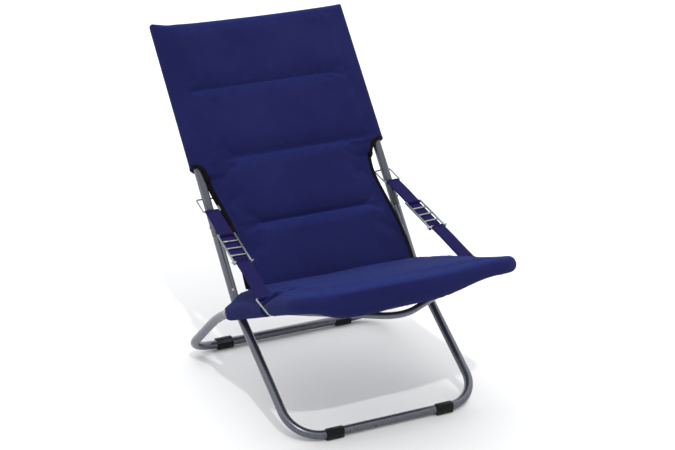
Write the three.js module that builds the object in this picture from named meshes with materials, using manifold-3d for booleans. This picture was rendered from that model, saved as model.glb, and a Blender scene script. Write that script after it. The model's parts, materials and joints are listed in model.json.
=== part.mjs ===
// Padded folding beach chair: two U-shaped tube frames that cross at a rivet on each side, a padded sling
// over both frames, and a strap arm on each side with a ladder buckle that sets how far the chair opens.
// Millimetres. X runs across the chair, Y from front to back, Z up. The origin is on the floor, under the
// middle of the chair's box. The two side views of the frames are laid out from the pivot.
import * as THREE from 'three';
import { mergeVertices } from 'three/addons/utils/BufferGeometryUtils.js';
import Module from 'manifold-3d';

const wasm = await Module();
wasm.setup();

// ---------------------------------------------------------------- driving dimensions
const TUBE_D = 22;               // frame tube
const TUBE_WALL = 1.2;
const BACK_WIDTH = 500;          // between the centres of the two uprights
const PIVOT_GAP = 4;             // between the two frames at the pivot
const PIVOT_Y = 313;             // behind the front floor bar
const PIVOT_Z = 223.5;
const BACK_ANGLE = 51;           // degrees above the floor
const UPRIGHT_LENGTH = 745;      // pivot to the centre of the top bar
const RAIL_ANGLE = 23.6;         // degrees above the floor, rising to the front
const RAIL_LENGTH = 461;         // pivot to the centre of the seat's front bar
const REAR_LEG_ANGLE = 40.2;     // degrees, lower stretch of the rear leg
const REAR_BEND_R = 560;
const REAR_BEND_START = 25;      // ahead of the pivot, along the rail
const FLOOR_CORNER_R = 82;       // bends into the floor bars
const SEAT_CORNER_R = 62;
const TOP_CORNER_R = 45;
const PIVOT_BEND_R = 120;        // bend of the inner frame at the pivot

const NECK_LENGTH = 48;          // swaged end that enters the next tube
const NECK_TAPER = 5;
const BACK_JOINT = 196;          // along the upright from the pivot
const RAIL_JOINT = 96;           // along the rail from the pivot
const SCREW_D = 4;
const SCREW_HEAD_D = 8;
const SCREW_HEAD_T = 2.3;
const SCREW_GRIP = 4;            // how deep it reaches below the tube's face

const RIVET_D = 6;
const RIVET_HEAD_D = 12;
const RIVET_HEAD_T = 2.6;
const SPACER_D = 17;

const BRACE_D = 16;
const BRACE_WALL = 1.2;
const BRACE_AT = 264;            // where its ends sit, along the rail
const BRACE_REACH = 125;         // how far the corner of its V runs ahead of its ends
const BRACE_DROP = 11;           // how far that corner lies below its ends
const BRACE_BEND_R = 100;
const BRACE_ROUND_FROM = 24;     // from the rail's centre to where the tube is round
const BRACE_TONGUE = [44, 19, 4];  // its flattened end: across the chair, along the rail, thick
const BRACE_TONGUE_OUT = 9.5;    // how far that end runs past the rail's centre

const FOOT_LENGTH = 45;
const FOOT_WALL = 2.25;          // plastic round the floor bar
const FOOT_SOLE = 3;             // plastic below the floor bar
const FOOT_SHOULDER = 7;         // chamfer of its upper edges
const FOOT_BEVEL = 1.2;
const FOOT_MOUTH = 62;           // degrees that the foot leaves open
const FOOT_MOUTH_TILT = 42;      // degrees from straight up to the middle of that mouth
const FRONT_FOOT_IN = 20;        // from the end of the floor bar's bend to the foot's middle
const REAR_FOOT_IN = 22;

const COVER_PADDING = 8;         // thickness of the padded sleeve round a tube
const COVER_GAP = 0.5;           // between a sleeve and its tube
const SOFT_GAP = 2.5;            // between the sling and what passes through it
const HOOD_FROM = 380;           // lower end of the hood, along the upright
const BACK_PAD = [-7, 22];       // behind and ahead of the uprights' plane
// the back's free side edge below the hood: distance along the upright, half width
const WAIST = [[384, 3], [354, 1], [318, 16], [240, 22], [170, 21], [100, 13], [66, 5], [52, 13]];
const SLEEVE_FROM = 17;          // rear end of the seat's sleeves, along the rail
const SLEEVE_WEB_FROM = 23;      // rear end of the web between a sleeve and the pad
// the seat pad's upper and lower outline: distance along the rail, height off the rails' plane
const SEAT_TOP = [[20, 37], [80, 45], [200, 46], [330, 38], [461, 21.5]];
const SEAT_UNDER = [[461, -19], [415, -17], [345, -6], [250, 4], [150, 9], [20, 18]];
const SEAT_DROOP = [[461, -19], [456, -42], [415, -42], [345, -6]];
const SEAT_PAD_HALF = 232;       // half width of the seat's pad
const SEAT_DROOP_HALF = 150;     // half width of its drooping front

const RING_WIRE = 4;
const RING_BEND_R = 3;
const RING_BUTT = 0.4;           // open joint of the ring's wire
const RING_UPPER_AT = 281;       // along the upright
const RING_LOWER_AT = 268;       // along the rail
const RING_STRAP_GAP = 2;        // between the strap's edge and the ring's wire
const RING_UPPER_REACH = 20;     // ring's bar, from the upright's surface
const RING_LOWER_REACH = 29;     // ring's bar, from the rail's surface
const RING_SIDE_GAP = 2;         // between the lower ring's narrow end and the rail
const RING_SLOT_GAP = [10, 4];   // room round the ring in the sleeve's slot: across, and along the rail
const STRAP_WIDTH = 37;
const STRAP_T = 3;
const LADDER_WIRE = 4;
const RUNG_D = 3.6;
const LADDER_FROM = 134;         // first rung, from the upright's centre along the strap
const LADDER_RUNGS = 4;
const RUNG_PITCH = 29;
const LADDER_STRAP_GAP = 1;      // between the strap's edge and the ladder's rail
const HOOK_AT = 249;             // cross bar held by the curled ends
const HOOK_R = 5;                // depth of the V at the rails' ends, centre of the wire
const HOOK_BEND_R = 2;
const BAR_D = 4;
const BAR_OVERHANG = 7;          // cross bar beyond the rails' centres
const FLAP_GAP = 0.6;            // between the ladder and the flap below it
const FLAP_SHORT = 13;           // from the flap's end to the cross bar

const FIT = 0.3;                 // gap between pieces that touch
const TUBE_SIDES = 14;
const WIRE_SIDES = 8;
const BEND_STEP = 15;            // degrees of a bend between two sections of a tube
const WIRE_BEND_STEP = 30;
const SLIVER = 0.02;             // edges shorter than this are closed up after a cut

// ---------------------------------------------------------------- worked out from them
const TUBE_R = TUBE_D / 2;
const FLOOR_BAR_Z = TUBE_R + FOOT_SOLE;
const FOOT_SIZE = TUBE_D + 2 * FOOT_WALL;
const COVER_R = TUBE_R + COVER_GAP + COVER_PADDING;
const RING_UPPER_BAR = TUBE_R + RING_UPPER_REACH;
const RING_LOWER_BAR = TUBE_R + RING_LOWER_REACH;
const RING_WIDTH = STRAP_WIDTH + RING_WIRE + 2 * RING_STRAP_GAP;
const LADDER_WIDTH = STRAP_WIDTH + LADDER_WIRE + 2 * LADDER_STRAP_GAP;
const BACK_X = BACK_WIDTH / 2;
const SEAT_X = BACK_X + TUBE_D + PIVOT_GAP;
const deg = THREE.MathUtils.degToRad;
const V = (x, y, z) => new THREE.Vector3(x, y, z);
const PIVOT = V(0, PIVOT_Y, PIVOT_Z);
const ACROSS = V(1, 0, 0);
const UPRIGHT = V(0, Math.cos(deg(BACK_ANGLE)), Math.sin(deg(BACK_ANGLE)));
const UPRIGHT_FRONT = V(0, -UPRIGHT.z, UPRIGHT.y);
const RAIL = V(0, -Math.cos(deg(RAIL_ANGLE)), Math.sin(deg(RAIL_ANGLE)));
const RAIL_TOP = V(0, RAIL.z, -RAIL.y);

// A point by its place across, its distance from the pivot along a frame, and its height off that frame.
function at(along, off, x, s, n = 0) {
  return PIVOT.clone().addScaledVector(along, s).addScaledVector(off, n).setX(x);
}
const onBack = (x, s, n) => at(UPRIGHT, UPRIGHT_FRONT, x, s, n);
const onSeat = (x, s, n) => at(RAIL, RAIL_TOP, x, s, n);

// ---------------------------------------------------------------- materials
function finish(color, roughness, metalness) {
  return new THREE.MeshStandardMaterial({ color, roughness, metalness });
}
const SILVER = finish(0x9a9ca6, 0.34, 0.9);
const STEEL = finish(0x8b908f, 0.42, 0.9);
const BLACK_PLASTIC = finish(0x141416, 0.5, 0);
const NAVY = finish(0x25285a, 0.85, 0);

// ---------------------------------------------------------------- shapes
// A route of straight runs whose corners are arcs, given as [point, bend radius]. Sections lie only where a
// run ends and along each arc.
class BentRoute extends THREE.Curve {
  constructor(corners, bendStep) {
    super();
    this.stations = [];
    corners.forEach(([point, radius], i) => {
      if (!radius) {
        const other = corners[i === 0 ? 1 : i - 1][0];
        const tangent = other.clone().sub(point).normalize().multiplyScalar(i === 0 ? 1 : -1);
        this.stations.push({ point, tangent });
        return;
      }
      const before = point.clone().sub(corners[i - 1][0]).normalize();
      const after = corners[i + 1][0].clone().sub(point).normalize();
      const turn = before.angleTo(after);
      const start = point.clone().addScaledVector(before, -radius * Math.tan(turn / 2));
      const inward = after.clone().addScaledVector(before, -after.dot(before)).normalize();
      const steps = Math.max(2, Math.ceil(turn / deg(bendStep)));
      for (let k = 0; k <= steps; k++) {
        const a = turn * k / steps;
        this.stations.push({
          point: start.clone().addScaledVector(before, radius * Math.sin(a))
            .addScaledVector(inward, radius * (1 - Math.cos(a))),
          tangent: before.clone().multiplyScalar(Math.cos(a)).addScaledVector(inward, Math.sin(a)),
        });
      }
    });
    this.steps = this.stations.length - 1;
  }

  getPointAt(u, target = V(0, 0, 0)) {
    return target.copy(this.stations[Math.round(u * this.steps)].point);
  }

  getTangentAt(u, target = V(0, 0, 0)) {
    return target.copy(this.stations[Math.round(u * this.steps)].tangent);
  }
}

function ringPoints(radius, sides) {
  const turns = [...Array(sides).keys()].map((k) => (k + 0.5) * 2 * Math.PI / sides);
  return turns.map((a) => new THREE.Vector2(radius * Math.cos(a), radius * Math.sin(a)));
}

// A bar, or a tube when it has a wall, along a route.
function swept(corners, radius, wall = 0, sides = TUBE_SIDES, bendStep = BEND_STEP) {
  const route = new BentRoute(corners, bendStep);
  const section = new THREE.Shape(ringPoints(radius, sides));
  if (wall) section.holes.push(new THREE.Path(ringPoints(radius - wall, sides)));
  return new THREE.ExtrudeGeometry(section, { steps: route.steps, extrudePath: route });
}

// A turned piece: profile points as [radius, height], with its axis laid along a direction from a point.
function turned(profile, from, direction, sides = 16) {
  const points = [...profile, profile[0]].map(([r, h]) => new THREE.Vector2(r, h));
  const geometry = new THREE.LatheGeometry(points, sides);
  const aim = new THREE.Quaternion().setFromUnitVectors(V(0, 1, 0), direction.clone().normalize());
  geometry.applyQuaternion(aim);
  return geometry.translate(from.x, from.y, from.z);
}

// Half profile of a domed head, from its seat to its crown.
const DOME = [[1, 0], [1, 0.35], [0.6, 1], [0, 1]];
const dome = (diameter, seat, height) => DOME.map(([r, h]) => [r * diameter / 2, seat + h * height]);

// A rivet with a domed head at each end of its shank.
function rivet(from, to) {
  return [...dome(RIVET_HEAD_D, from, -RIVET_HEAD_T).toReversed(), [RIVET_D / 2, from], [RIVET_D / 2, to],
    ...dome(RIVET_HEAD_D, to, RIVET_HEAD_T)];
}

function pin(radius, from, to, sides = 12) {
  const length = from.distanceTo(to);
  return turned([[0, 0], [radius, 0], [radius, length], [0, length]], from, to.clone().sub(from), sides);
}

// An outline drawn as [along, off] beside one of the frames, run across the chair from x0 to x1.
function slab(place, outline, x0, x1) {
  const shape = new THREE.Shape(outline.map(([s, n]) => new THREE.Vector2(s, n)));
  const geometry = new THREE.ExtrudeGeometry(shape, { depth: x1 - x0, bevelEnabled: false });
  const positions = geometry.attributes.position;
  const p = V(0, 0, 0);
  for (let i = 0; i < positions.count; i++) {
    p.fromBufferAttribute(positions, i);
    const q = place(x0 + p.z, p.x, p.y);
    positions.setXYZ(i, q.x, q.y, q.z);
  }
  return geometry;
}

// A box with given sizes about a centre, turned to three given directions.
function block(centre, directions, sizes) {
  const geometry = new THREE.BoxGeometry(...sizes);
  geometry.applyMatrix4(new THREE.Matrix4().makeBasis(...directions));
  return geometry.translate(centre.x, centre.y, centre.z);
}

// ---------------------------------------------------------------- joining and cutting
function solid(geometry) {
  const bare = geometry.clone();
  bare.deleteAttribute('normal');
  bare.deleteAttribute('uv');
  const merged = mergeVertices(bare, 1e-4);
  const mesh = new wasm.Mesh({
    numProp: 3,
    vertProperties: new Float32Array(merged.attributes.position.array),
    triVerts: new Uint32Array(merged.index.array),
  });
  const made = new wasm.Manifold(mesh);
  return made.volume() < 0 ? new wasm.Manifold(flipped(mesh)) : made;
}

function flipped(mesh) {
  const turnedOver = new Uint32Array(mesh.triVerts);
  for (let i = 0; i < turnedOver.length; i += 3) {
    [turnedOver[i], turnedOver[i + 1]] = [turnedOver[i + 1], turnedOver[i]];
  }
  return new wasm.Mesh({ numProp: 3, vertProperties: mesh.vertProperties, triVerts: turnedOver });
}

function shape(add, cut = []) {
  let whole = add.map(solid).reduce((a, b) => a.add(b));
  for (const tool of cut) whole = whole.subtract(solid(tool));
  const mesh = whole.simplify(SLIVER).getMesh();
  const geometry = new THREE.BufferGeometry();
  geometry.setAttribute('position', new THREE.BufferAttribute(new Float32Array(mesh.vertProperties), 3));
  geometry.setIndex(new THREE.BufferAttribute(new Uint32Array(mesh.triVerts), 1));
  geometry.computeVertexNormals();
  return geometry;
}

const chair = new THREE.Group();
function piece(name, material, add, cut = []) {
  const mesh = new THREE.Mesh(shape(add, cut), material);
  mesh.name = name;
  chair.add(mesh);
}
const SIDES = [['left', -1], ['right', 1]];

// ---------------------------------------------------------------- the two frames
const FLOOR = FLOOR_BAR_Z;
const frontFloorEnd = (x) => V(x, 0, FLOOR);

// The rear leg leaves the rail's line at a long bend, then runs straight to the floor bar.
const REAR_TURN = deg(REAR_LEG_ANGLE - RAIL_ANGLE);
const REAR_VERTEX = REAR_BEND_START - REAR_BEND_R * Math.tan(REAR_TURN / 2);
const rearVertex = (x) => onSeat(x, REAR_VERTEX);
const REAR_FLOOR_Y = rearVertex(0).y + (rearVertex(0).z - FLOOR) / Math.tan(deg(REAR_LEG_ANGLE));
const rearFloorEnd = (x) => V(x, REAR_FLOOR_Y, FLOOR);

const backRoute = [
  [onBack(-BACK_X, BACK_JOINT)], [onBack(-BACK_X, UPRIGHT_LENGTH), TOP_CORNER_R],
  [onBack(BACK_X, UPRIGHT_LENGTH), TOP_CORNER_R], [onBack(BACK_X, BACK_JOINT)]];
const frontLegRoute = [
  [onBack(-BACK_X, BACK_JOINT - NECK_TAPER)], [onBack(-BACK_X, 0), PIVOT_BEND_R],
  [frontFloorEnd(-BACK_X), FLOOR_CORNER_R], [frontFloorEnd(BACK_X), FLOOR_CORNER_R],
  [onBack(BACK_X, 0), PIVOT_BEND_R], [onBack(BACK_X, BACK_JOINT - NECK_TAPER)]];
const seatRoute = [
  [onSeat(-SEAT_X, RAIL_JOINT)], [onSeat(-SEAT_X, RAIL_LENGTH), SEAT_CORNER_R],
  [onSeat(SEAT_X, RAIL_LENGTH), SEAT_CORNER_R], [onSeat(SEAT_X, RAIL_JOINT)]];
const rearLegRoute = [
  [onSeat(-SEAT_X, RAIL_JOINT - NECK_TAPER)], [rearVertex(-SEAT_X), REAR_BEND_R],
  [rearFloorEnd(-SEAT_X), FLOOR_CORNER_R], [rearFloorEnd(SEAT_X), FLOOR_CORNER_R],
  [rearVertex(SEAT_X), REAR_BEND_R], [onSeat(SEAT_X, RAIL_JOINT - NECK_TAPER)]];

// The swaged end of a tube: it narrows to clear the flats of the next tube's bore, and enters it.
function neck(place, x, joint, direction) {
  const inside = TUBE_R - TUBE_WALL;
  const slim = inside * Math.cos(Math.PI / TUBE_SIDES) - FIT;
  const rooted = -TUBE_WALL;
  const profile = [[inside, rooted], [TUBE_R - FIT / 3, rooted], [slim, NECK_TAPER - FIT],
    [slim, NECK_TAPER + NECK_LENGTH], [slim - TUBE_WALL, NECK_TAPER + NECK_LENGTH],
    [slim - TUBE_WALL, NECK_TAPER]];
  return turned(profile, place(x, joint - NECK_TAPER), direction, TUBE_SIDES);
}

// A hole for a pin through a tube, with the pin's own clearance.
const hole = (radius, from, to) => pin(radius + FIT, from, to, 16);

const screwPlace = (place, x, joint) => place(x, joint + NECK_LENGTH / 2);
function screwHole(place, x, joint) {
  const centre = screwPlace(place, x, joint);
  return hole(SCREW_D / 2, centre, centre.clone().setX(x + Math.sign(x) * TUBE_D));
}

function jointScrew(name, place, x, joint) {
  const side = V(Math.sign(x), 0, 0);
  const centre = screwPlace(place, x, joint);
  const seat = TUBE_R + FIT;
  const tip = TUBE_R - SCREW_GRIP;
  const profile = [[0, tip], [SCREW_D / 2, tip], [SCREW_D / 2, seat],
    ...dome(SCREW_HEAD_D, seat, SCREW_HEAD_T)];
  piece(name, STEEL, [turned(profile, centre, side, 12)]);
}

const pivotHole = (x) => hole(RIVET_D / 2, PIVOT.clone().setX(x - TUBE_D), PIVOT.clone().setX(x + TUBE_D));

function makeBackFrame() {
  piece('upper_back_tube', SILVER, [swept(backRoute, TUBE_R, TUBE_WALL)],
    SIDES.map(([, side]) => screwHole(onBack, side * BACK_X, BACK_JOINT)));
  const necks = SIDES.map(([, side]) => neck(onBack, side * BACK_X, BACK_JOINT, UPRIGHT));
  piece('front_leg_tube', SILVER, [swept(frontLegRoute, TUBE_R, TUBE_WALL), ...necks], [
    ...SIDES.map(([, side]) => screwHole(onBack, side * BACK_X, BACK_JOINT)),
    ...SIDES.map(([, side]) => pivotHole(side * BACK_X))]);
  for (const [name, side] of SIDES) jointScrew(`back_joint_screw_${name}`, onBack, side * BACK_X, BACK_JOINT);
}

function makeSeatFrame() {
  piece('seat_tube', SILVER, [swept(seatRoute, TUBE_R, TUBE_WALL)], [
    ...SIDES.map(([, side]) => screwHole(onSeat, side * SEAT_X, RAIL_JOINT)),
    ...SIDES.map(([, side]) => braceHole(side))]);
  const necks = SIDES.map(([, side]) => neck(onSeat, side * SEAT_X, RAIL_JOINT, RAIL));
  piece('rear_leg_tube', SILVER, [swept(rearLegRoute, TUBE_R, TUBE_WALL), ...necks], [
    ...SIDES.map(([, side]) => screwHole(onSeat, side * SEAT_X, RAIL_JOINT)),
    ...SIDES.map(([, side]) => pivotHole(side * SEAT_X))]);
  for (const [name, side] of SIDES) jointScrew(`rail_joint_screw_${name}`, onSeat, side * SEAT_X, RAIL_JOINT);
}

// ---------------------------------------------------------------- pivots
function makePivots() {
  const bore = RIVET_D / 2 + FIT;
  const [near, far] = [TUBE_R + FIT, TUBE_R + PIVOT_GAP - FIT];
  const washer = [[bore, near], [SPACER_D / 2, near], [SPACER_D / 2, far], [bore, far]];
  const through = rivet(-TUBE_R - FIT, TUBE_D + PIVOT_GAP + TUBE_R + FIT);
  for (const [name, side] of SIDES) {
    const from = PIVOT.clone().setX(side * BACK_X);
    piece(`pivot_rivet_${name}`, STEEL, [turned(through, from, V(side, 0, 0))]);
    piece(`pivot_spacer_${name}`, BLACK_PLASTIC, [turned(washer, from, V(side, 0, 0), 20)]);
  }
}

// ---------------------------------------------------------------- brace below the seat
const BRACE_UNDER = -TUBE_R - FIT - BRACE_TONGUE[2] / 2;
const braceEnd = (side) => onSeat(side * SEAT_X, BRACE_AT, BRACE_UNDER);
const BRACE_RIVET = [BRACE_UNDER - BRACE_TONGUE[2] / 2 - FIT, TUBE_R + FIT];

// A pin on a brace rivet's line, of a given radius, running a given length past each of the rivet's seats.
function onBraceRivet(side, radius, past) {
  const [low, high] = BRACE_RIVET.map((n, end) => onSeat(side * SEAT_X, BRACE_AT, n + (end ? past : -past)));
  return pin(radius, low, high, 16);
}
const braceHole = (side) => onBraceRivet(side, RIVET_D / 2 + FIT, TUBE_WALL);

// A wide V whose corner is one long bend, between its two flattened ends.
function braceRoute() {
  const corner = V(0, braceEnd(1).y - BRACE_REACH, braceEnd(1).z - BRACE_DROP);
  const start = (side) => braceEnd(side).lerp(corner, BRACE_ROUND_FROM / SEAT_X);
  return [[start(1)], [corner, BRACE_BEND_R], [start(-1)]];
}

function braceTongue(side, room = 0) {
  const [across, along, thick] = BRACE_TONGUE;
  const middle = braceEnd(side).setX(side * (SEAT_X + BRACE_TONGUE_OUT - across / 2));
  return block(middle, [ACROSS, RAIL, RAIL_TOP], [across + room, along + room, thick + room]);
}

function makeBrace() {
  const tongues = SIDES.map(([, side]) => braceTongue(side));
  piece('seat_brace', SILVER, [swept(braceRoute(), BRACE_D / 2, BRACE_WALL, 12), ...tongues],
    SIDES.map(([, side]) => braceHole(side)));
  for (const [name, side] of SIDES) {
    piece(`brace_rivet_${name}`, STEEL,
      [turned(rivet(...BRACE_RIVET), onSeat(side * SEAT_X, BRACE_AT), RAIL_TOP)]);
  }
}

// ---------------------------------------------------------------- feet
// A clip with a flat sole that snaps round the floor bar; its opening faces up and inwards.
function makeFoot(name, x, y, inward) {
  const half = FOOT_SIZE / 2;
  const shoulder = half - FOOT_SHOULDER;
  const outline = [[-half, -FLOOR], [half, -FLOOR], [half, shoulder], [shoulder, half], [-shoulder, half],
    [-half, shoulder]];
  const body = new THREE.ExtrudeGeometry(new THREE.Shape(outline.map(([a, b]) => new THREE.Vector2(a, b))), {
    depth: FOOT_LENGTH - 2 * FOOT_BEVEL,
    bevelThickness: FOOT_BEVEL,
    bevelSize: FOOT_BEVEL,
    bevelOffset: -FOOT_BEVEL,
    bevelSegments: 1 });
  body.rotateX(Math.PI / 2).rotateZ(Math.PI / 2);
  body.translate(x - FOOT_LENGTH / 2 + FOOT_BEVEL, y, FLOOR);
  const reach = FOOT_SIZE * 2;
  const spread = reach * Math.tan(deg(FOOT_MOUTH / 2));
  const wedge = [[0, 0], [spread, reach], [-spread, reach]];
  const mouth = new THREE.ExtrudeGeometry(new THREE.Shape(wedge.map(([a, b]) => new THREE.Vector2(a, b))),
    { depth: FOOT_LENGTH * 2, bevelEnabled: false });
  mouth.rotateX(Math.PI / 2).rotateZ(Math.PI / 2).rotateX(-inward * deg(FOOT_MOUTH_TILT));
  mouth.translate(x - FOOT_LENGTH, y, FLOOR);
  const bore = pin(TUBE_R + FIT, V(x - FOOT_LENGTH, y, FLOOR), V(x + FOOT_LENGTH, y, FLOOR), 28);
  piece(name, BLACK_PLASTIC, [body], [bore, mouth]);
}

function makeFeet() {
  const frontX = BACK_X - FLOOR_CORNER_R - FRONT_FOOT_IN;
  const rearX = SEAT_X - FLOOR_CORNER_R - REAR_FOOT_IN;
  for (const [name, side] of SIDES) {
    makeFoot(`front_foot_${name}`, side * frontX, 0, 1);
    makeFoot(`rear_foot_${name}`, side * rearX, REAR_FLOOR_Y, -1);
  }
}

// ---------------------------------------------------------------- padded sling, as two plain solids
const clearOf = (route) => swept(route, TUBE_R + COVER_GAP, 0);

function makeBackCover() {
  const sleeves = [[onBack(-BACK_X, HOOD_FROM)], [onBack(-BACK_X, UPRIGHT_LENGTH), TOP_CORNER_R],
    [onBack(BACK_X, UPRIGHT_LENGTH), TOP_CORNER_R], [onBack(BACK_X, HOOD_FROM)]];
  const [behind, ahead] = BACK_PAD;
  const hood = [[HOOD_FROM, behind], [UPRIGHT_LENGTH, behind], [UPRIGHT_LENGTH, ahead], [HOOD_FROM, ahead]];
  const face = BACK_X - TUBE_R;
  const waist = new THREE.Shape([
    ...WAIST.map(([s, inside]) => new THREE.Vector2(face - inside, s)),
    ...WAIST.toReversed().map(([s, inside]) => new THREE.Vector2(inside - face, s))]);
  const lower = new THREE.ExtrudeGeometry(waist, { depth: ahead - behind, bevelEnabled: false });
  lower.translate(0, 0, behind);
  lower.applyMatrix4(new THREE.Matrix4().makeBasis(ACROSS, UPRIGHT, UPRIGHT_FRONT).setPosition(PIVOT));
  piece('back_cover', NAVY, [swept(sleeves, COVER_R), slab(onBack, hood, -BACK_X, BACK_X), lower],
    [clearOf(backRoute)]);
}

// The slot lies in the ring's own plane, aslant across the sleeve.
function ringSlot(side) {
  const arm = armFrame(side);
  const [beside, along] = RING_SLOT_GAP;
  const width = TUBE_D + 2 * (RING_SIDE_GAP + RING_WIRE + beside);
  const opening = RING_WIRE + 2 * along;
  const above = RING_LOWER_BAR + RING_WIRE;
  const below = arm.pastRail + RING_WIRE * 2;
  return block(arm.place(arm.length + (below - above) / 2, 0), [arm.across, arm.along, arm.up],
    [width, above + below, opening]);
}

// What the seat's cover leaves free on one side: the tubes' joint and its screw, the ring, the brace's end.
function seatRooms(side) {
  const x = side * SEAT_X;
  return [
    clearOf([[onSeat(x, RAIL_JOINT + NECK_TAPER)], [onSeat(x, RAIL_JOINT - 2 * NECK_TAPER)]]),
    pin(SCREW_HEAD_D / 2 + COVER_GAP, screwPlace(onSeat, x, RAIL_JOINT),
      screwPlace(onSeat, x + side * (TUBE_R + SCREW_HEAD_T + COVER_GAP), RAIL_JOINT)),
    ringSlot(side),
    braceTongue(side, 2 * SOFT_GAP),
    onBraceRivet(side, RIVET_HEAD_D / 2 + COVER_GAP, RIVET_HEAD_T + COVER_GAP)];
}

function makeSeatCover() {
  const sleeves = [[onSeat(-SEAT_X, SLEEVE_FROM)], [onSeat(-SEAT_X, RAIL_LENGTH), SEAT_CORNER_R],
    [onSeat(SEAT_X, RAIL_LENGTH), SEAT_CORNER_R], [onSeat(SEAT_X, SLEEVE_FROM)]];
  const front = [RAIL_LENGTH + COVER_R, 0];
  const pad = slab(onSeat, [...SEAT_TOP, front, ...SEAT_UNDER], -SEAT_PAD_HALF, SEAT_PAD_HALF);
  const droop = slab(onSeat, SEAT_DROOP, -SEAT_DROOP_HALF, SEAT_DROOP_HALF);
  const web = slab(onSeat, [[SLEEVE_WEB_FROM, COVER_R], [SLEEVE_WEB_FROM, 0], [RAIL_LENGTH, 0],
    [RAIL_LENGTH, COVER_R]], -SEAT_X, SEAT_X);
  piece('seat_cover', NAVY, [swept(sleeves, COVER_R), pad, droop, web], [
    clearOf(seatRoute), clearOf(rearLegRoute), swept(frontLegRoute, TUBE_R + SOFT_GAP),
    swept(braceRoute(), BRACE_D / 2 + SOFT_GAP), ...SIDES.flatMap(([, side]) => seatRooms(side))]);
}

// ---------------------------------------------------------------- strap arms
// Each arm runs straight from the upright to the rail. Its pieces are placed by the distance from the
// upright's centre along it, the distance across it and the height above it.
function armFrame(side) {
  const top = onBack(side * BACK_X, RING_UPPER_AT);
  const foot = onSeat(side * SEAT_X, RING_LOWER_AT);
  const along = foot.clone().sub(top);
  const length = along.length();
  along.normalize();
  const across = ACROSS.clone().addScaledVector(along, -along.x).normalize();
  const up = across.clone().cross(along).normalize();
  function place(s, x, n = 0) {
    return top.clone().addScaledVector(along, s).addScaledVector(across, x).addScaledVector(up, n);
  }
  // how far the ring's wire must pass from each tube's centre, where the tube crosses the ring's plane aslant
  const slant = (tube) => (TUBE_R + RING_WIRE / 2 + FIT * 2) / Math.sin(along.angleTo(tube));
  return { place, along, across, up, length, pastUpright: slant(UPRIGHT), pastRail: slant(RAIL) };
}

// A flat strap between two distances along the arm.
function band(arm, from, to, width, low, high) {
  return block(arm.place((from + to) / 2, 0, (low + high) / 2), [arm.along, arm.across, arm.up],
    [to - from, width, high - low]);
}

// The strap's end, folded round a bar that crosses the arm.
const loopRound = (arm, s, n, wire) => pin(wire / 2 + FIT + STRAP_T,
  arm.place(s, -STRAP_WIDTH / 2, n), arm.place(s, STRAP_WIDTH / 2, n), 16);
const barRoom = (arm, s, n, wire) => pin(wire / 2 + FIT,
  arm.place(s, -STRAP_WIDTH, n), arm.place(s, STRAP_WIDTH, n), 16);

// A wire ring with a straight bar for the strap; its butt joint lies at the middle of the far side.
function wireRing(arm, barAt, farAt, barHalf, farHalf) {
  const corners = [[farAt, farHalf], [barAt, barHalf], [barAt, -barHalf], [farAt, -farHalf]];
  const bends = corners.map(([s, x]) => [arm.place(s, x), RING_BEND_R]);
  const route = [[arm.place(farAt, RING_BUTT / 2)], ...bends, [arm.place(farAt, -RING_BUTT / 2)]];
  return swept(route, RING_WIRE / 2, 0, WIRE_SIDES, WIRE_BEND_STEP);
}

function ladder(arm) {
  const half = LADDER_WIDTH / 2;
  const rungs = [...Array(LADDER_RUNGS).keys()].map((k) => LADDER_FROM + k * RUNG_PITCH);
  const bars = rungs.map((s) => pin(RUNG_D / 2, arm.place(s, -half), arm.place(s, half), WIRE_SIDES));
  const rails = [-half, half].map((x) => swept([
    [arm.place(LADDER_FROM - LADDER_WIRE / 2, x)], [arm.place(HOOK_AT - HOOK_R, x), HOOK_BEND_R],
    [arm.place(HOOK_AT, x, -HOOK_R), HOOK_BEND_R], [arm.place(HOOK_AT + HOOK_R, x), HOOK_BEND_R],
    [arm.place(HOOK_AT + HOOK_R, x, HOOK_R)]], LADDER_WIRE / 2, 0, WIRE_SIDES, WIRE_BEND_STEP));
  return [...rails, ...bars];
}

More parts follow.
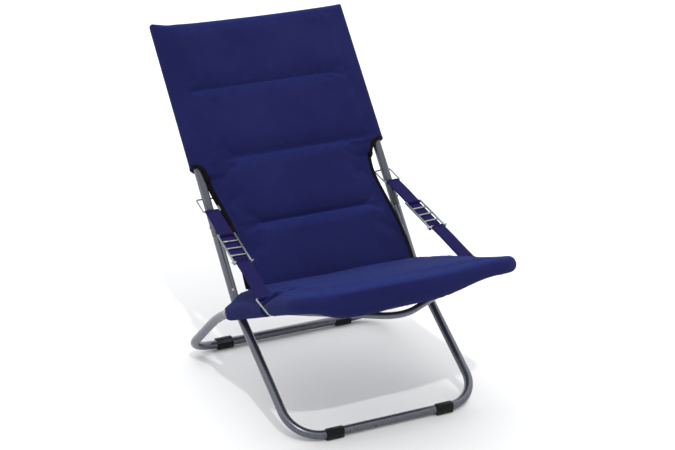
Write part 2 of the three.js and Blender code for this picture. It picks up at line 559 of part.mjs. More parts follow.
function makeArm(name, side) {
  const arm = armFrame(side);
  piece(`upper_ring_${name}`, STEEL,
    [wireRing(arm, RING_UPPER_BAR, -arm.pastUpright, RING_WIDTH / 2, RING_WIDTH / 2)]);
  const underLadder = -LADDER_WIRE / 2 - FLAP_GAP;
  piece(`upper_strap_${name}`, NAVY, [
    loopRound(arm, RING_UPPER_BAR, 0, RING_WIRE), loopRound(arm, LADDER_FROM, 0, LADDER_WIRE),
    band(arm, RING_UPPER_BAR, LADDER_FROM, STRAP_WIDTH, -STRAP_T, STRAP_T),
    band(arm, LADDER_FROM, HOOK_AT - FLAP_SHORT, STRAP_WIDTH, underLadder - STRAP_T, underLadder)],
  [barRoom(arm, RING_UPPER_BAR, 0, RING_WIRE), barRoom(arm, LADDER_FROM, 0, LADDER_WIRE)]);
  piece(`ladder_buckle_${name}`, STEEL, ladder(arm));
  // the bar lies against both sides of the V, which lean at 45 degrees
  const barUp = (LADDER_WIRE / 2 + BAR_D / 2 + FIT) * Math.SQRT2 - HOOK_R;
  const barEnd = LADDER_WIDTH / 2 + BAR_OVERHANG;
  piece(`strap_bar_${name}`, STEEL, [
    pin(BAR_D / 2, arm.place(HOOK_AT, -barEnd, barUp), arm.place(HOOK_AT, barEnd, barUp))]);
  const ringBar = arm.length - RING_LOWER_BAR;
  piece(`lower_strap_${name}`, NAVY, [
    loopRound(arm, HOOK_AT, barUp, BAR_D), loopRound(arm, ringBar, 0, RING_WIRE),
    band(arm, HOOK_AT, ringBar, STRAP_WIDTH, -STRAP_T, STRAP_T)],
  [barRoom(arm, HOOK_AT, barUp, BAR_D), barRoom(arm, ringBar, 0, RING_WIRE)]);
  const narrowHalf = TUBE_R + RING_WIRE / 2 + RING_SIDE_GAP;
  piece(`lower_ring_${name}`, STEEL,
    [wireRing(arm, ringBar, arm.length + arm.pastRail, RING_WIDTH / 2, narrowHalf)]);
}

// ---------------------------------------------------------------- the whole chair
makeBackFrame();
makeSeatFrame();
makePivots();
makeBrace();
makeFeet();
makeBackCover();
makeSeatCover();
for (const [name, side] of SIDES) makeArm(name, side);

const box = new THREE.Box3().setFromObject(chair);
chair.position.set(0, -(box.min.y + box.max.y) / 2, -box.min.z);
chair.updateMatrixWorld(true);

export default chair;
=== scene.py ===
"""Looks of the folding beach chair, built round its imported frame.

Sizes are in metres; the chair faces -Y and stands on Z = 0.

The chair is two crossed tube frames, a padded sling sewn round them, and a strap arm on each side. Places on
the frames are given as a distance across the chair, a distance from the pivot along the upright or the rail,
and a height off that frame.
"""

import json
import math

import bmesh
import bpy
import numpy as np
from mathutils import Matrix, Vector


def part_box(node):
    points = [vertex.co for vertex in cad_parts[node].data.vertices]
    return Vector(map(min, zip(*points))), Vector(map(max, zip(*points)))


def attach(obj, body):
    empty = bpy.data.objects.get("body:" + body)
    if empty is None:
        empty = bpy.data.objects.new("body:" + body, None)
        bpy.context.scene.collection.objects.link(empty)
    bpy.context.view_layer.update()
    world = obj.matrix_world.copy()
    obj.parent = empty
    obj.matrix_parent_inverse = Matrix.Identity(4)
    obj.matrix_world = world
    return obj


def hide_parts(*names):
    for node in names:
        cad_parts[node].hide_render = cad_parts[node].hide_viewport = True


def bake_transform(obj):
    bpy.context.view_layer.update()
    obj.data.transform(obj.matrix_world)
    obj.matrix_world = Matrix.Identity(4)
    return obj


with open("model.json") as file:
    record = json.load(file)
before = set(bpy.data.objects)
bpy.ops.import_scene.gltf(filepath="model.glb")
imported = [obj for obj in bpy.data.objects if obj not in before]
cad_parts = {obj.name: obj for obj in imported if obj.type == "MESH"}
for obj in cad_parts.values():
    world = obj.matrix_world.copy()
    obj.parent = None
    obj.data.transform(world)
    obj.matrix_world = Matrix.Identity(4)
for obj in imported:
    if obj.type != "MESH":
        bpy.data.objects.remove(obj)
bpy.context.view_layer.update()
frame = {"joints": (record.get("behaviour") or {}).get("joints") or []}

# ---------------------------------------------------------------- sizes, in metres
TUBE_R = 0.011
SLEEVE_R = 0.0195                 # outside of the padded sleeve round a tube
BACK_X = 0.250                    # uprights' centres
SEAT_X = 0.276                    # rails' centres
FLOOR_BAR_Z = 0.014
UPRIGHT_LENGTH = 0.745
RAIL_LENGTH = 0.461
BACK_ANGLE = math.radians(51)
RAIL_ANGLE = math.radians(23.6)
REAR_LEG_ANGLE = math.radians(40.2)
REAR_BEND_R = 0.560
REAR_BEND_START = 0.025
FLOOR_CORNER_R = 0.082
SEAT_CORNER_R = 0.062
TOP_CORNER_R = 0.045
PIVOT_BEND_R = 0.120
BACK_JOINT = 0.196                # where each upright's two tubes meet
RAIL_JOINT = 0.096
NECK_TAPER = 0.005
NECK_LENGTH = 0.048
NECK_SLIMMER = 0.0017             # a neck's radius is this much less than its tube's
RIVET_R = 0.003
RIVET_HEAD_R = 0.006
RIVET_HEAD_T = 0.0026
SCREW_R = 0.002
SCREW_GRIP = 0.004                # how deep it reaches below the tube's face
SCREW_HEAD_R = 0.004
SCREW_HEAD_T = 0.0023
SPACER_R = 0.0085
FRAME_STEP = SEAT_X - BACK_X      # from an upright's centre to the rail's beside it
PIVOT_GAP = FRAME_STEP - 2 * TUBE_R
FIT = 0.0003                      # gap between pieces that touch
PIVOT_BEHIND = 0.313              # pivots behind the front floor bar
BRACE_R = 0.008
BRACE_AT = 0.264
BRACE_DEPTH = 0.0133              # of its ends below the rails' plane
BRACE_REACH = 0.125
BRACE_DROP = 0.011
BRACE_BEND_R = 0.100
BRACE_END_BEND_R = 0.060
BRACE_END_HALF = 0.002            # half thickness of a flattened end
BRACE_PAST = 0.006                # how far its ends run past the rails' centres
BRACE_LEVEL = 0.022               # how far its level ends reach inside the rails' centres
BRACE_THINNER = 0.74              # share of its thickness pressed out of a flattened end
BRACE_WIDER = 0.19                # share of its width that end gains
RING_UPPER_AT = 0.281
RING_LOWER_AT = 0.268
RING_UPPER_BAR = 0.031
RING_LOWER_BAR = 0.040
RING_HALF = 0.0225
RING_WIRE_R = 0.002
LADDER_FROM = 0.134
LADDER_RUNGS = 4
RUNG_PITCH = 0.029
LADDER_HALF = 0.0215
HOOK_AT = 0.249
HOOK_R = 0.005
STRAP_HALF = 0.0185
STRAP_T = 0.003
STRAP_LOOP_R = 0.0053             # where it goes round a bar
LADDER_WIRE_R = 0.0025
RUNG_R = 0.0023
CAMERA_AT = (-1.9839, -3.95765, 2.0773)
CAMERA_TURNS = (26.98, 20.78, 0.2)  # degrees: from +Y towards +X, down, and roll
CAMERA_LENS = 102.5               # millimetres, on a 36 mm sensor
FLOOR_HALF = 14.0
SUN_FROM = (-0.154, -0.585, 0.796)
SUN_ANGLE = 1.6                   # degrees across, which softens the shadow's edge
SUN_STRENGTH = 0.95
SKY_BRIGHTEST = (0.12, 0.55, 0.826)
FLAP_LIFT = -0.0041               # of the upper strap's loose end, off the strap's plane

# ---------------------------------------------------------------- the two frames' own directions
FOLD = next(joint for joint in frame["joints"] if joint["name"] == "fold")
PIVOT = np.array([0.0, FOLD["pos_m"][1], FOLD["pos_m"][2]])
ACROSS = np.array([1.0, 0.0, 0.0])
UPRIGHT = np.array([0.0, math.cos(BACK_ANGLE), math.sin(BACK_ANGLE)])
UPRIGHT_FRONT = np.array([0.0, -UPRIGHT[2], UPRIGHT[1]])
RAIL = np.array([0.0, -math.cos(RAIL_ANGLE), math.sin(RAIL_ANGLE)])
RAIL_TOP = np.array([0.0, RAIL[2], -RAIL[1]])
SIDES = (("left", -1.0), ("right", 1.0))


def beside(along, off, x, s, n):
    """Pivot plus x across, s along a frame and n off it, for whole arrays at once."""
    x, s, n = np.broadcast_arrays(np.asarray(x, float), s, n)
    return PIVOT + x[..., None] * ACROSS + s[..., None] * along + n[..., None] * off


def on_back(x, s, n=0.0):
    """A place given along the uprights and ahead of them."""
    return beside(UPRIGHT, UPRIGHT_FRONT, x, s, n)


def on_seat(x, s, n=0.0):
    """A place given along the rails and above them."""
    return beside(RAIL, RAIL_TOP, x, s, n)


def unit(v):
    """The vector, or each vector of an array, at length one."""
    return v / np.linalg.norm(v, axis=-1, keepdims=True)


def ease(a, b, value):
    """0 up to a, 1 from b, and 3t squared less 2t cubed between them."""
    t = np.clip((value - a) / (b - a), 0.0, 1.0)
    return t * t * (3.0 - 2.0 * t)


# ---------------------------------------------------------------- surfaces
def skin(name, grid, material):
    """A grid of points (rows, columns, 3), or several equal grids, as a mesh of quads.

    Its UVs are the mean lengths along the rows and along the columns, in metres. Points that coincide are
    merged, which closes the grid where its edges meet and at its poles.
    """
    grids = grid if grid.ndim == 4 else grid[None]
    count, rows, columns = grids.shape[:3]
    index = np.arange(count * rows * columns).reshape(count, rows, columns)
    corners = [index[:, :-1, :-1], index[:, :-1, 1:], index[:, 1:, 1:], index[:, 1:, :-1]]
    quads = np.stack(corners, -1).reshape(-1, 4)
    down = np.linalg.norm(np.diff(grids[0], axis=0), axis=2).mean(1)
    over = np.linalg.norm(np.diff(grids[0], axis=1), axis=2).mean(0)
    v, u = np.meshgrid(np.r_[0, np.cumsum(down)], np.r_[0, np.cumsum(over)], indexing="ij")
    uv = np.tile(np.stack([u, v], -1).reshape(-1, 2), (count, 1))
    mesh = bpy.data.meshes.new(name)
    mesh.vertices.add(index.size)
    mesh.vertices.foreach_set("co", grids.astype(np.float32).ravel())
    mesh.loops.add(quads.size)
    mesh.loops.foreach_set("vertex_index", quads.astype(np.int32).ravel())
    mesh.polygons.add(len(quads))
    mesh.polygons.foreach_set("loop_start", (np.arange(len(quads)) * 4).astype(np.int32))
    mesh.update(calc_edges=True)
    layer = mesh.uv_layers.new(name="cloth")
    layer.data.foreach_set("uv", uv[quads.ravel()].astype(np.float32).ravel())
    mesh.materials.append(material)
    piece = bpy.data.objects.new(name, mesh)
    bpy.context.scene.collection.objects.link(piece)
    return closed(piece)


def closed(piece):
    """Merges coinciding points, drops empty faces, points all faces outwards and shades them smooth."""
    work = bmesh.new()
    work.from_mesh(piece.data)
    bmesh.ops.remove_doubles(work, verts=work.verts, dist=2e-6)
    bmesh.ops.dissolve_degenerate(work, dist=1e-6, edges=work.edges)
    bmesh.ops.recalc_face_normals(work, faces=work.faces)
    for face in work.faces:
        face.smooth = True
    work.to_mesh(piece.data)
    work.free()
    return piece


def joined(name, pieces):
    """Several pieces as one mesh, with their materials."""
    bpy.ops.object.select_all(action="DESELECT")
    for piece in pieces:
        piece.select_set(True)
    bpy.context.view_layer.objects.active = pieces[0]
    bpy.ops.object.join()
    whole = bpy.context.view_layer.objects.active
    whole.name = name
    whole.data.name = name
    whole.select_set(False)
    return whole


def bent(corners, radii, step=math.radians(4)):
    """A line of points through the corners, whose inner corners are arcs of the given radii."""
    points = [corners[0][None]]
    for before, corner, after, radius in zip(corners, corners[1:], corners[2:], radii):
        a, b = unit(corner - before), unit(after - corner)
        turn = math.acos(float(np.clip(a @ b, -1, 1)))
        inward = unit(b - a * (a @ b))
        angle = np.linspace(0, turn, max(4, int(turn / step) + 1))[:, None]
        start = corner - a * radius * math.tan(turn / 2)
        points.append(start + a * radius * np.sin(angle) + inward * radius * (1 - np.cos(angle)))
    points.append(corners[-1][None])
    return np.vstack(points)


def carried(path, radius, facing, sides=40, oval=1.0):
    """A round section carried along a path, closed at both ends.

    Each section lies across the path's mean direction there: radius times (cosine, oval times sine) along
    two directions square to it, the first of them square to facing as well.
    """
    if np.ndim(facing) == 2:
        facing = np.vstack([facing[:1], facing, facing[-1:]])
    path = np.vstack([path[:1], path, path[-1:]])
    radius = np.broadcast_to(radius, len(path) - 2)
    radius = np.r_[0, radius, 0]
    steps = unit(np.diff(path[1:-1], axis=0))
    tangent = unit(np.vstack([steps[:1], steps]) + np.vstack([steps, steps[-1:]]))
    tangent = np.vstack([tangent[:1], tangent, tangent[-1:]])
    first = unit(np.cross(tangent, facing))
    second = np.cross(first, tangent)
    angle = np.linspace(0, 2 * np.pi, sides + 1)[None, :, None]
    ring = np.cos(angle) * first[:, None] + oval * np.sin(angle) * second[:, None]
    return path[:, None] + radius[:, None, None] * ring


def tube(name, corners, radii, radius, facing, material, sides=40, ease_end=0.0006):
    """A closed round bar along bent corners, with slightly rounded ends."""
    path = bent(corners, radii)
    head, tail = unit(path[1] - path[0]), unit(path[-1] - path[-2])
    path = np.vstack([path[:1], path[:1] + head * ease_end, path[1:-1],
                      path[-1:] - tail * ease_end, path[-1:]])
    thickness = np.r_[radius - ease_end, np.full(len(path) - 2, radius), radius - ease_end]
    return skin(name, carried(path, thickness, facing, sides), material)


def turned(name, profile, origin, axis, material, sides=40):
    """A profile of (radius, height) points turned round an axis through an origin."""
    axis = unit(np.asarray(axis, float))
    first = unit(np.cross(axis, [0.3, 0.5, 0.8]))
    second = np.cross(axis, first)
    profile = np.array(profile, float)
    angle = np.linspace(0, 2 * np.pi, sides + 1)[None, :, None]
    ring = np.cos(angle) * first + np.sin(angle) * second
    grid = origin + profile[:, 0, None, None] * ring + profile[:, 1, None, None] * axis
    return skin(name, grid, material)


def settle(piece, body, slot, *nodes):
    """Rides the piece on its body and lets it stand for its CAD nodes; the slot argument is not used."""
    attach(piece, body)
    if nodes:
        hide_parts(*nodes)
    return piece


# ---------------------------------------------------------------- finishes
class Finish:
    """A node material with its shader, and short ways to add the nodes that feed it."""

    def __init__(self, name, colour, roughness, metallic=0.0, **sockets):
        self.material = bpy.data.materials.new(name)
        self.material.use_nodes = True
        self.nodes = self.material.node_tree.nodes
        self.links = self.material.node_tree.links
        self.shader = self.nodes["Principled BSDF"]
        self.shader.inputs["Base Color"].default_value = (*colour, 1)
        self.shader.inputs["Roughness"].default_value = roughness
        self.shader.inputs["Metallic"].default_value = metallic
        for socket, value in sockets.items():
            self.shader.inputs[socket.replace("_", " ")].default_value = value

    def node(self, kind, inputs=(), **settings):
        """Adds a node, sets it, and links or sets its inputs by name or number."""
        made = self.nodes.new("ShaderNode" + kind)
        for key, value in settings.items():
            setattr(made, key, value)
        for key, value in dict(inputs).items():
            if isinstance(value, bpy.types.NodeSocket):
                self.links.new(value, made.inputs[key])
            else:
                made.inputs[key].default_value = value
        return made

    def place(self):
        """Object coordinates, which are metres in the chair's frame."""
        return self.node("TexCoord").outputs["Object"]

    def noise(self, scale, detail=3.0, roughness=0.55, where=None):
        """Noise from 0 to 1 with about that many blotches to a metre."""
        vector = self.place() if where is None else where
        made = self.node("TexNoise", {"Vector": vector, "Scale": scale, "Detail": detail,
                                      "Roughness": roughness})
        return made.outputs["Fac"]

    def math(self, operation, a, b=0.0):
        return self.node("Math", {0: a, 1: b}, operation=operation).outputs[0]

    def between(self, value, low, high, to_low, to_high):
        """Maps low..high of a value to to_low..to_high and holds it there."""
        return self.node("MapRange", {"Value": value, "From Min": low, "From Max": high, "To Min": to_low,
                                      "To Max": to_high}).outputs["Result"]

    def blend(self, share, first, second):
        """A colour between two, each a colour or a socket."""
        mix = self.node("Mix", data_type="RGBA")
        for key, value in (("A", first), ("B", second), ("Factor", share)):
            socket = next(s for s in mix.inputs if s.name == key and s.enabled)
            if isinstance(value, bpy.types.NodeSocket):
                self.links.new(value, socket)
            else:
                socket.default_value = (*value, 1) if isinstance(value, tuple) else value
        return next(s for s in mix.outputs if s.enabled)

    def relief(self, height, strength, distance):
        bump = self.node("Bump", {"Height": height, "Strength": strength, "Distance": distance})
        self.links.new(bump.outputs["Normal"], self.shader.inputs["Normal"])

    def feed(self, socket, value):
        self.links.new(value, self.shader.inputs[socket])


def cloth_finish(name, colour, faded_and_top_lit, pitch, weave_depth, sheen):
    """Plain weave: the product of two sines along the piece's own UVs, over soft blotches of fading, with
    painted top light on faces that look upwards.
    """
    made = Finish(name, colour, 0.85, Sheen_Weight=sheen, Sheen_Roughness=0.45,
                  Sheen_Tint=(0.2, 0.34, 1.0, 1.0), Specular_IOR_Level=0.05)
    uv = made.node("UVMap", uv_map="cloth").outputs["UV"]
    parts = made.node("SeparateXYZ", {"Vector": uv})
    turns = 2 * math.pi / pitch
    weft = made.math("SINE", made.math("MULTIPLY", parts.outputs["X"], turns))
    warp = made.math("SINE", made.math("MULTIPLY", parts.outputs["Y"], turns))
    weave = made.math("MULTIPLY", weft, warp)
    slub = made.noise(900.0, 2.0)
    height = made.math("ADD", weave, made.math("MULTIPLY", slub, 1.2))
    made.relief(height, 0.35, weave_depth)
    fading = made.between(made.noise(5.0, 4.0), 0.35, 0.7, 0.0, 1.0)
    fibre = made.between(made.noise(420.0, 2.0), 0.3, 0.7, 0.0, 0.35)
    # Painted top light: faces that look upwards blend to a lighter, bluer colour, standing in for light
    # falling from above.
    upward = made.node("SeparateXYZ", {"Vector": made.node("NewGeometry").outputs["Normal"]}).outputs["Z"]
    top_light_share = made.between(upward, 0.74, 0.98, 0.0, 0.8)
    top_lit_colour = (faded_and_top_lit[0] * 0.9, faded_and_top_lit[1] * 1.35, faded_and_top_lit[2] * 1.5)
    soft = made.blend(top_light_share, made.blend(fading, colour, faded_and_top_lit), top_lit_colour)
    made.feed("Base Color", made.blend(fibre, soft, tuple(c * 0.72 for c in colour)))
    made.feed("Roughness", made.between(made.noise(60.0), 0.3, 0.7, 0.78, 0.93))
    return made.material


def tape_finish(name, colour, pitch):
    """Ribbed tape: one sine along the tape's UVs gives its cross ribs."""
    made = Finish(name, colour, 0.85, Specular_IOR_Level=0.1)
    uv = made.node("UVMap", uv_map="cloth").outputs["UV"]
    along = made.node("SeparateXYZ", {"Vector": uv}).outputs["Y"]
    rib = made.math("SINE", made.math("MULTIPLY", along, 2 * math.pi / pitch))
    made.relief(made.math("ADD", rib, made.noise(700.0)), 0.4, 0.0003)
    lint = made.between(made.noise(35.0, 4.0), 0.45, 0.8, 0.0, 1.0)
    made.feed("Base Color", made.blend(lint, colour, tuple(c * 1.9 + 0.002 for c in colour)))
    made.feed("Roughness", made.between(made.noise(90.0), 0.3, 0.7, 0.7, 0.9))
    return made.material


def lacquer_finish(name, colour, dark, roughness):
    """Metallic lacquer: fine flake, rub marks that open the gloss, and thin scuffs near the floor."""
    made = Finish(name, colour, roughness, 0.72, Coat_Weight=0.18, Coat_Roughness=0.22)
    rubbed = made.between(made.noise(26.0, 4.0, 0.6), 0.42, 0.75, 0.0, 1.0)
    made.feed("Roughness", made.between(rubbed, 0.0, 1.0, roughness, roughness + 0.07))
    height = made.node("SeparateXYZ", {"Vector": made.place()}).outputs["Z"]
    low = made.between(height, 0.006, 0.06, 1.0, 0.0)
    scuff = made.math("MULTIPLY", low, made.between(made.noise(160.0, 4.0, 0.7), 0.52, 0.66, 0.0, 1.0))
    flake = made.between(made.noise(2600.0, 1.0), 0.3, 0.7, 0.0, 0.3)
    made.feed("Base Color", made.blend(scuff, made.blend(flake, colour, dark), tuple(c * 0.55 for c in dark)))
    made.relief(made.noise(1800.0, 1.0), 0.05, 0.00008)
    return made.material


def zinc_finish(name, colour, roughness):
    """Zinc on wire and fasteners: cloudy spangle and duller patches."""
    made = Finish(name, colour, roughness, 0.95)
    cloud = made.between(made.noise(140.0, 4.0, 0.6), 0.35, 0.7, 0.0, 1.0)
    made.feed("Base Color", made.blend(cloud, colour, tuple(c * 0.62 for c in colour)))
    made.feed("Roughness", made.between(cloud, 0.0, 1.0, roughness, roughness + 0.22))
    made.relief(made.noise(900.0), 0.12, 0.0002)
    return made.material


def moulded_finish(name, colour):
    """Moulded black plastic: fine grain, and dust rubbed into its lower edges."""
    made = Finish(name, colour, 0.5, Specular_IOR_Level=0.16)
    height = made.node("SeparateXYZ", {"Vector": made.place()}).outputs["Z"]
    low = made.between(height, 0.0, 0.014, 1.0, 0.0)
    dust = made.math("MULTIPLY", low, made.between(made.noise(120.0, 4.0), 0.4, 0.75, 0.0, 0.8))
    made.feed("Base Color", made.blend(dust, colour, (0.11, 0.105, 0.095)))
    made.feed("Roughness", made.between(made.noise(80.0), 0.3, 0.7, 0.42, 0.62))
    made.relief(made.noise(1500.0, 2.0), 0.25, 0.00025)
    return made.material


# Each cloth's second colour is its fading blotches' colour and, scaled up, the base of its painted top light.
NAVY = cloth_finish("navy_polyester", (0.0108, 0.0122, 0.068), (0.0145, 0.0172, 0.086), 0.0011, 0.0004, 0.03)
STRAP_NAVY = cloth_finish("navy_webbing", (0.0135, 0.0085, 0.056), (0.015, 0.0088, 0.050),
                          0.0016, 0.0006, 0.04)
BINDING = tape_finish("black_binding", (0.0018, 0.0018, 0.0026), 0.0014)
THREAD = tape_finish("navy_thread", (0.008, 0.009, 0.05), 0.0006)
SILVER = lacquer_finish("silver_lacquer", (0.125, 0.130, 0.155), (0.09, 0.094, 0.115), 0.26)
WIRE = zinc_finish("zinc_wire", (0.33, 0.35, 0.36), 0.34)
STEEL = zinc_finish("zinc_fastener", (0.40, 0.40, 0.41), 0.30)
PLASTIC = moulded_finish("black_plastic", (0.0035, 0.0035, 0.004))


# ---------------------------------------------------------------- the two frames' tubes
def mirrored_run(half):
    """Corners on the right side, then the same on the left in reverse."""
    return [*half, *[p * [-1, 1, 1] for p in reversed(half)]]


def necked(name, joint_place, joint, half, radii, facing, material):
    """A tube whose two ends are drawn in to enter the next tube."""
    reach = NECK_TAPER + NECK_LENGTH
    x = half[0][0]
    slim = TUBE_R - NECK_SLIMMER
    lead = [joint_place(x, joint - NECK_TAPER + d) for d in (reach, reach - 0.001, NECK_TAPER, 0.0)]
    path = bent(mirrored_run([lead[-1], *half[1:]]), radii)
    ends = [p * [-1, 1, 1] for p in reversed(lead[:-1])]
    path = np.vstack([lead[:-1], path, ends])
    thickness = np.full(len(path), TUBE_R)
    thickness[[0, 1, 2, -3, -2, -1]] = slim
    return skin(name, carried(path, thickness, facing), material)


def make_tubes():
    """The four frame tubes and the brace, each a round section along its bent line."""
    rear_turn = REAR_LEG_ANGLE - RAIL_ANGLE
    rear_vertex = on_seat(SEAT_X, REAR_BEND_START - REAR_BEND_R * math.tan(rear_turn / 2))
    front_y = PIVOT[1] - PIVOT_BEHIND
    rear_y = rear_vertex[1] + (rear_vertex[2] - FLOOR_BAR_Z) / math.tan(REAR_LEG_ANGLE)
    top = [on_back(BACK_X, BACK_JOINT), on_back(BACK_X, UPRIGHT_LENGTH)]
    upper = tube("upper_tube", mirrored_run(top), [TOP_CORNER_R] * 2, TUBE_R, UPRIGHT_FRONT, SILVER)
    settle(upper, "back_frame", "silver_tube", "upper_back_tube")
    legs = [on_back(BACK_X, BACK_JOINT), on_back(BACK_X, 0), np.array([BACK_X, front_y, FLOOR_BAR_Z])]
    front = necked("front_legs", on_back, BACK_JOINT, legs,
                   [PIVOT_BEND_R, FLOOR_CORNER_R, FLOOR_CORNER_R, PIVOT_BEND_R], UPRIGHT_FRONT, SILVER)
    settle(front, "back_frame", "silver_tube", "front_leg_tube")
    rails = [on_seat(SEAT_X, RAIL_JOINT), on_seat(SEAT_X, RAIL_LENGTH)]
    seat = tube("rail_tube", mirrored_run(rails), [SEAT_CORNER_R] * 2, TUBE_R, RAIL_TOP, SILVER)
    settle(seat, "seat_frame", "silver_tube", "seat_tube")
    legs = [on_seat(SEAT_X, RAIL_JOINT), rear_vertex, np.array([SEAT_X, rear_y, FLOOR_BAR_Z])]
    rear = necked("rear_legs", on_seat, RAIL_JOINT, legs,
                  [REAR_BEND_R, FLOOR_CORNER_R, FLOOR_CORNER_R, REAR_BEND_R], RAIL_TOP, SILVER)
    settle(rear, "seat_frame", "silver_tube", "rear_leg_tube")
    end = on_seat(SEAT_X, BRACE_AT, -BRACE_DEPTH)
    corner = np.array([0, end[1] - BRACE_REACH, end[2] - BRACE_DROP])
    ends = mirrored_run([end + [BRACE_PAST, 0, 0], end - [BRACE_LEVEL, 0, 0]])
    path = bent([*ends[:2], corner, *ends[2:]], [BRACE_END_BEND_R, BRACE_BEND_R, BRACE_END_BEND_R])
    flat = 1 - ease(SEAT_X - 0.045, SEAT_X - 0.016, np.abs(path[:, 0]))
    grid = carried(path, BRACE_R, RAIL_TOP, 32)
    middle = path[np.r_[0, np.arange(len(path)), -1]][:, None]
    lift = (grid - middle) @ RAIL_TOP
    spread = (grid - middle) @ RAIL
    share = np.r_[flat[0], flat, flat[-1]][:, None]
    thinner = (lift * (1 - share) * BRACE_THINNER)[..., None] * RAIL_TOP
    wider = (spread * (1 - share) * BRACE_WIDER)[..., None] * RAIL
    grid = grid - thinner + wider
    brace = skin("brace_bar", grid, SILVER)
    settle(brace, "seat_frame", "silver_tube", "seat_brace")


# ---------------------------------------------------------------- rivets, screws and spacers
def domed(radius, seat, height, count=7):
    """Half profile of a rivet head: a flat seat, a short rim and a quarter-oval dome."""
    angle = np.linspace(0, math.pi / 2, count)
    dome = np.stack([radius * np.cos(angle), seat + height * (0.25 + 0.75 * np.sin(angle))], 1)
    return [[radius, seat], *dome.tolist()]


def rivet_profile(low, high):
    """Half profile of a rivet whose two heads sit at those heights."""
    return [*domed(RIVET_HEAD_R, low, -RIVET_HEAD_T)[::-1], [RIVET_R, low], [RIVET_R, high],
            *domed(RIVET_HEAD_R, high, RIVET_HEAD_T)]


def make_fasteners():
    """Turned rivets through each pivot and brace end, their spacers, and the joints' screws."""
    for name, side in SIDES:
        centre = PIVOT + [side * BACK_X, 0, 0]
        outward = [side, 0, 0]
        low, high = -TUBE_R - FIT, FRAME_STEP + TUBE_R + FIT
        profile = rivet_profile(low, high)
        settle(turned(f"rivet_{name}", profile, centre, outward, STEEL), "back_frame", "fastener_steel",
               f"pivot_rivet_{name}")
        near, far, bore, rim = TUBE_R + FIT, TUBE_R + PIVOT_GAP - FIT, RIVET_R + FIT, SPACER_R
        profile = [[bore, near], [rim - 0.0005, near], [rim, near + 0.0006], [rim, far - 0.0006],
                   [rim - 0.0005, far], [bore, far], [bore, near]]
        settle(turned(f"spacer_{name}", profile, centre, outward, PLASTIC), "back_frame", "black_plastic",
               f"pivot_spacer_{name}")
        low, high = -BRACE_DEPTH - BRACE_END_HALF - FIT, TUBE_R + FIT
        profile = rivet_profile(low, high)
        settle(turned(f"brace_pin_{name}", profile, on_seat(side * SEAT_X, BRACE_AT), RAIL_TOP, STEEL),
               "seat_frame", "fastener_steel", f"brace_rivet_{name}")
        for kind, body, place, x, joint in (("back", "back_frame", on_back, BACK_X, BACK_JOINT),
                                            ("rail", "seat_frame", on_seat, SEAT_X, RAIL_JOINT)):
            at = place(side * x, joint + NECK_LENGTH / 2)
            profile = [[0, TUBE_R - SCREW_GRIP], [SCREW_R, TUBE_R - SCREW_GRIP], [SCREW_R, TUBE_R + FIT],
                       *domed(SCREW_HEAD_R, TUBE_R + FIT, SCREW_HEAD_T)]
            settle(turned(f"{kind}_screw_{name}", profile, at, outward, STEEL), body, "fastener_steel",
                   f"{kind}_joint_screw_{name}")


# ---------------------------------------------------------------- clip-on feet
def make_foot(name, node, body, inward):
    """A clip with a flat sole: its outline round the bar's bore, carried along the bar with soft edges.

    The outline is an outer rounded square from one lip of the mouth round the sole to the other, and back
    along the bore's circle; both are functions of the angle round the bar.
    """
    low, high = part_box(node)
    centre = np.array([(low.x + high.x) / 2, (low.y + high.y) / 2, FLOOR_BAR_Z])
    half = (high.y - low.y) / 2
    bore = TUBE_R + FIT
    mouth = math.radians(62)
    tilt = inward * math.radians(42)
    angle = np.linspace(mouth / 2, 2 * math.pi - mouth / 2, 72) + tilt
    sine, cosine = np.sin(angle), np.cos(angle)
    power = 5.0
    reach = half / (np.abs(sine) ** power + np.abs(cosine) ** power) ** (1 / power)
    reach = np.minimum(reach, np.where(cosine < 0, FLOOR_BAR_Z / np.maximum(-cosine, 1e-6), reach))
    outer = np.stack([reach * sine, reach * cosine], 1)
    lip = np.linspace(0, math.pi, 7)[1:-1, None]

    def rounded(a, b):
        middle, arm = (a + b) / 2, (a - b) / 2
        off = np.array([arm[1], -arm[0]])
        return middle + np.cos(lip) * arm + np.sin(lip) * off

    inner = np.stack([bore * sine, bore * cosine], 1)[::-1]
    outline = np.vstack([outer, rounded(outer[-1], inner[0]), inner, rounded(inner[-1], outer[0]), outer[:1]])
    far_lip = np.tile((outer[-1] + inner[0]) / 2, (len(lip), 1))
    near_lip = np.tile((outer[0] + inner[-1]) / 2, (len(lip), 1))
    centre_line = np.vstack([(outer + inner[::-1]) / 2, far_lip, (inner + outer[::-1]) / 2, near_lip,
                             (outer[:1] + inner[-1:]) / 2])
    length = (high.x - low.x) / 2
    soft = 0.0012
    turn = np.linspace(0, math.pi / 2, 5)
    edge = soft * (1 - np.cos(turn))
    stations = np.r_[-length, -length + edge[1:], length - edge[::-1][:-1], length]
    inset = np.r_[soft, soft * (1 - np.sin(turn))[1:], soft * (1 - np.sin(turn))[::-1][:-1], soft]
    toward = centre_line - outline
    size = np.maximum(np.linalg.norm(toward, axis=1, keepdims=True), 1e-9)
    rings = outline[None] + toward / size * np.minimum(inset[:, None, None], size)
    closing = np.stack([centre_line, *rings, centre_line])
    along = np.r_[-length, stations, length]
    grid = np.zeros((*closing.shape[:2], 3))
    grid[..., 0] = along[:, None]
    grid[..., 1:] = closing
    return settle(skin(name, grid + centre, PLASTIC), body, "black_plastic", node)


def make_feet():
    """Two clips on the front floor bar and two on the rear one."""
    for name, _ in SIDES:
        make_foot(f"front_clip_{name}", f"front_foot_{name}", "back_frame", 1)
        make_foot(f"rear_clip_{name}", f"rear_foot_{name}", "seat_frame", -1)


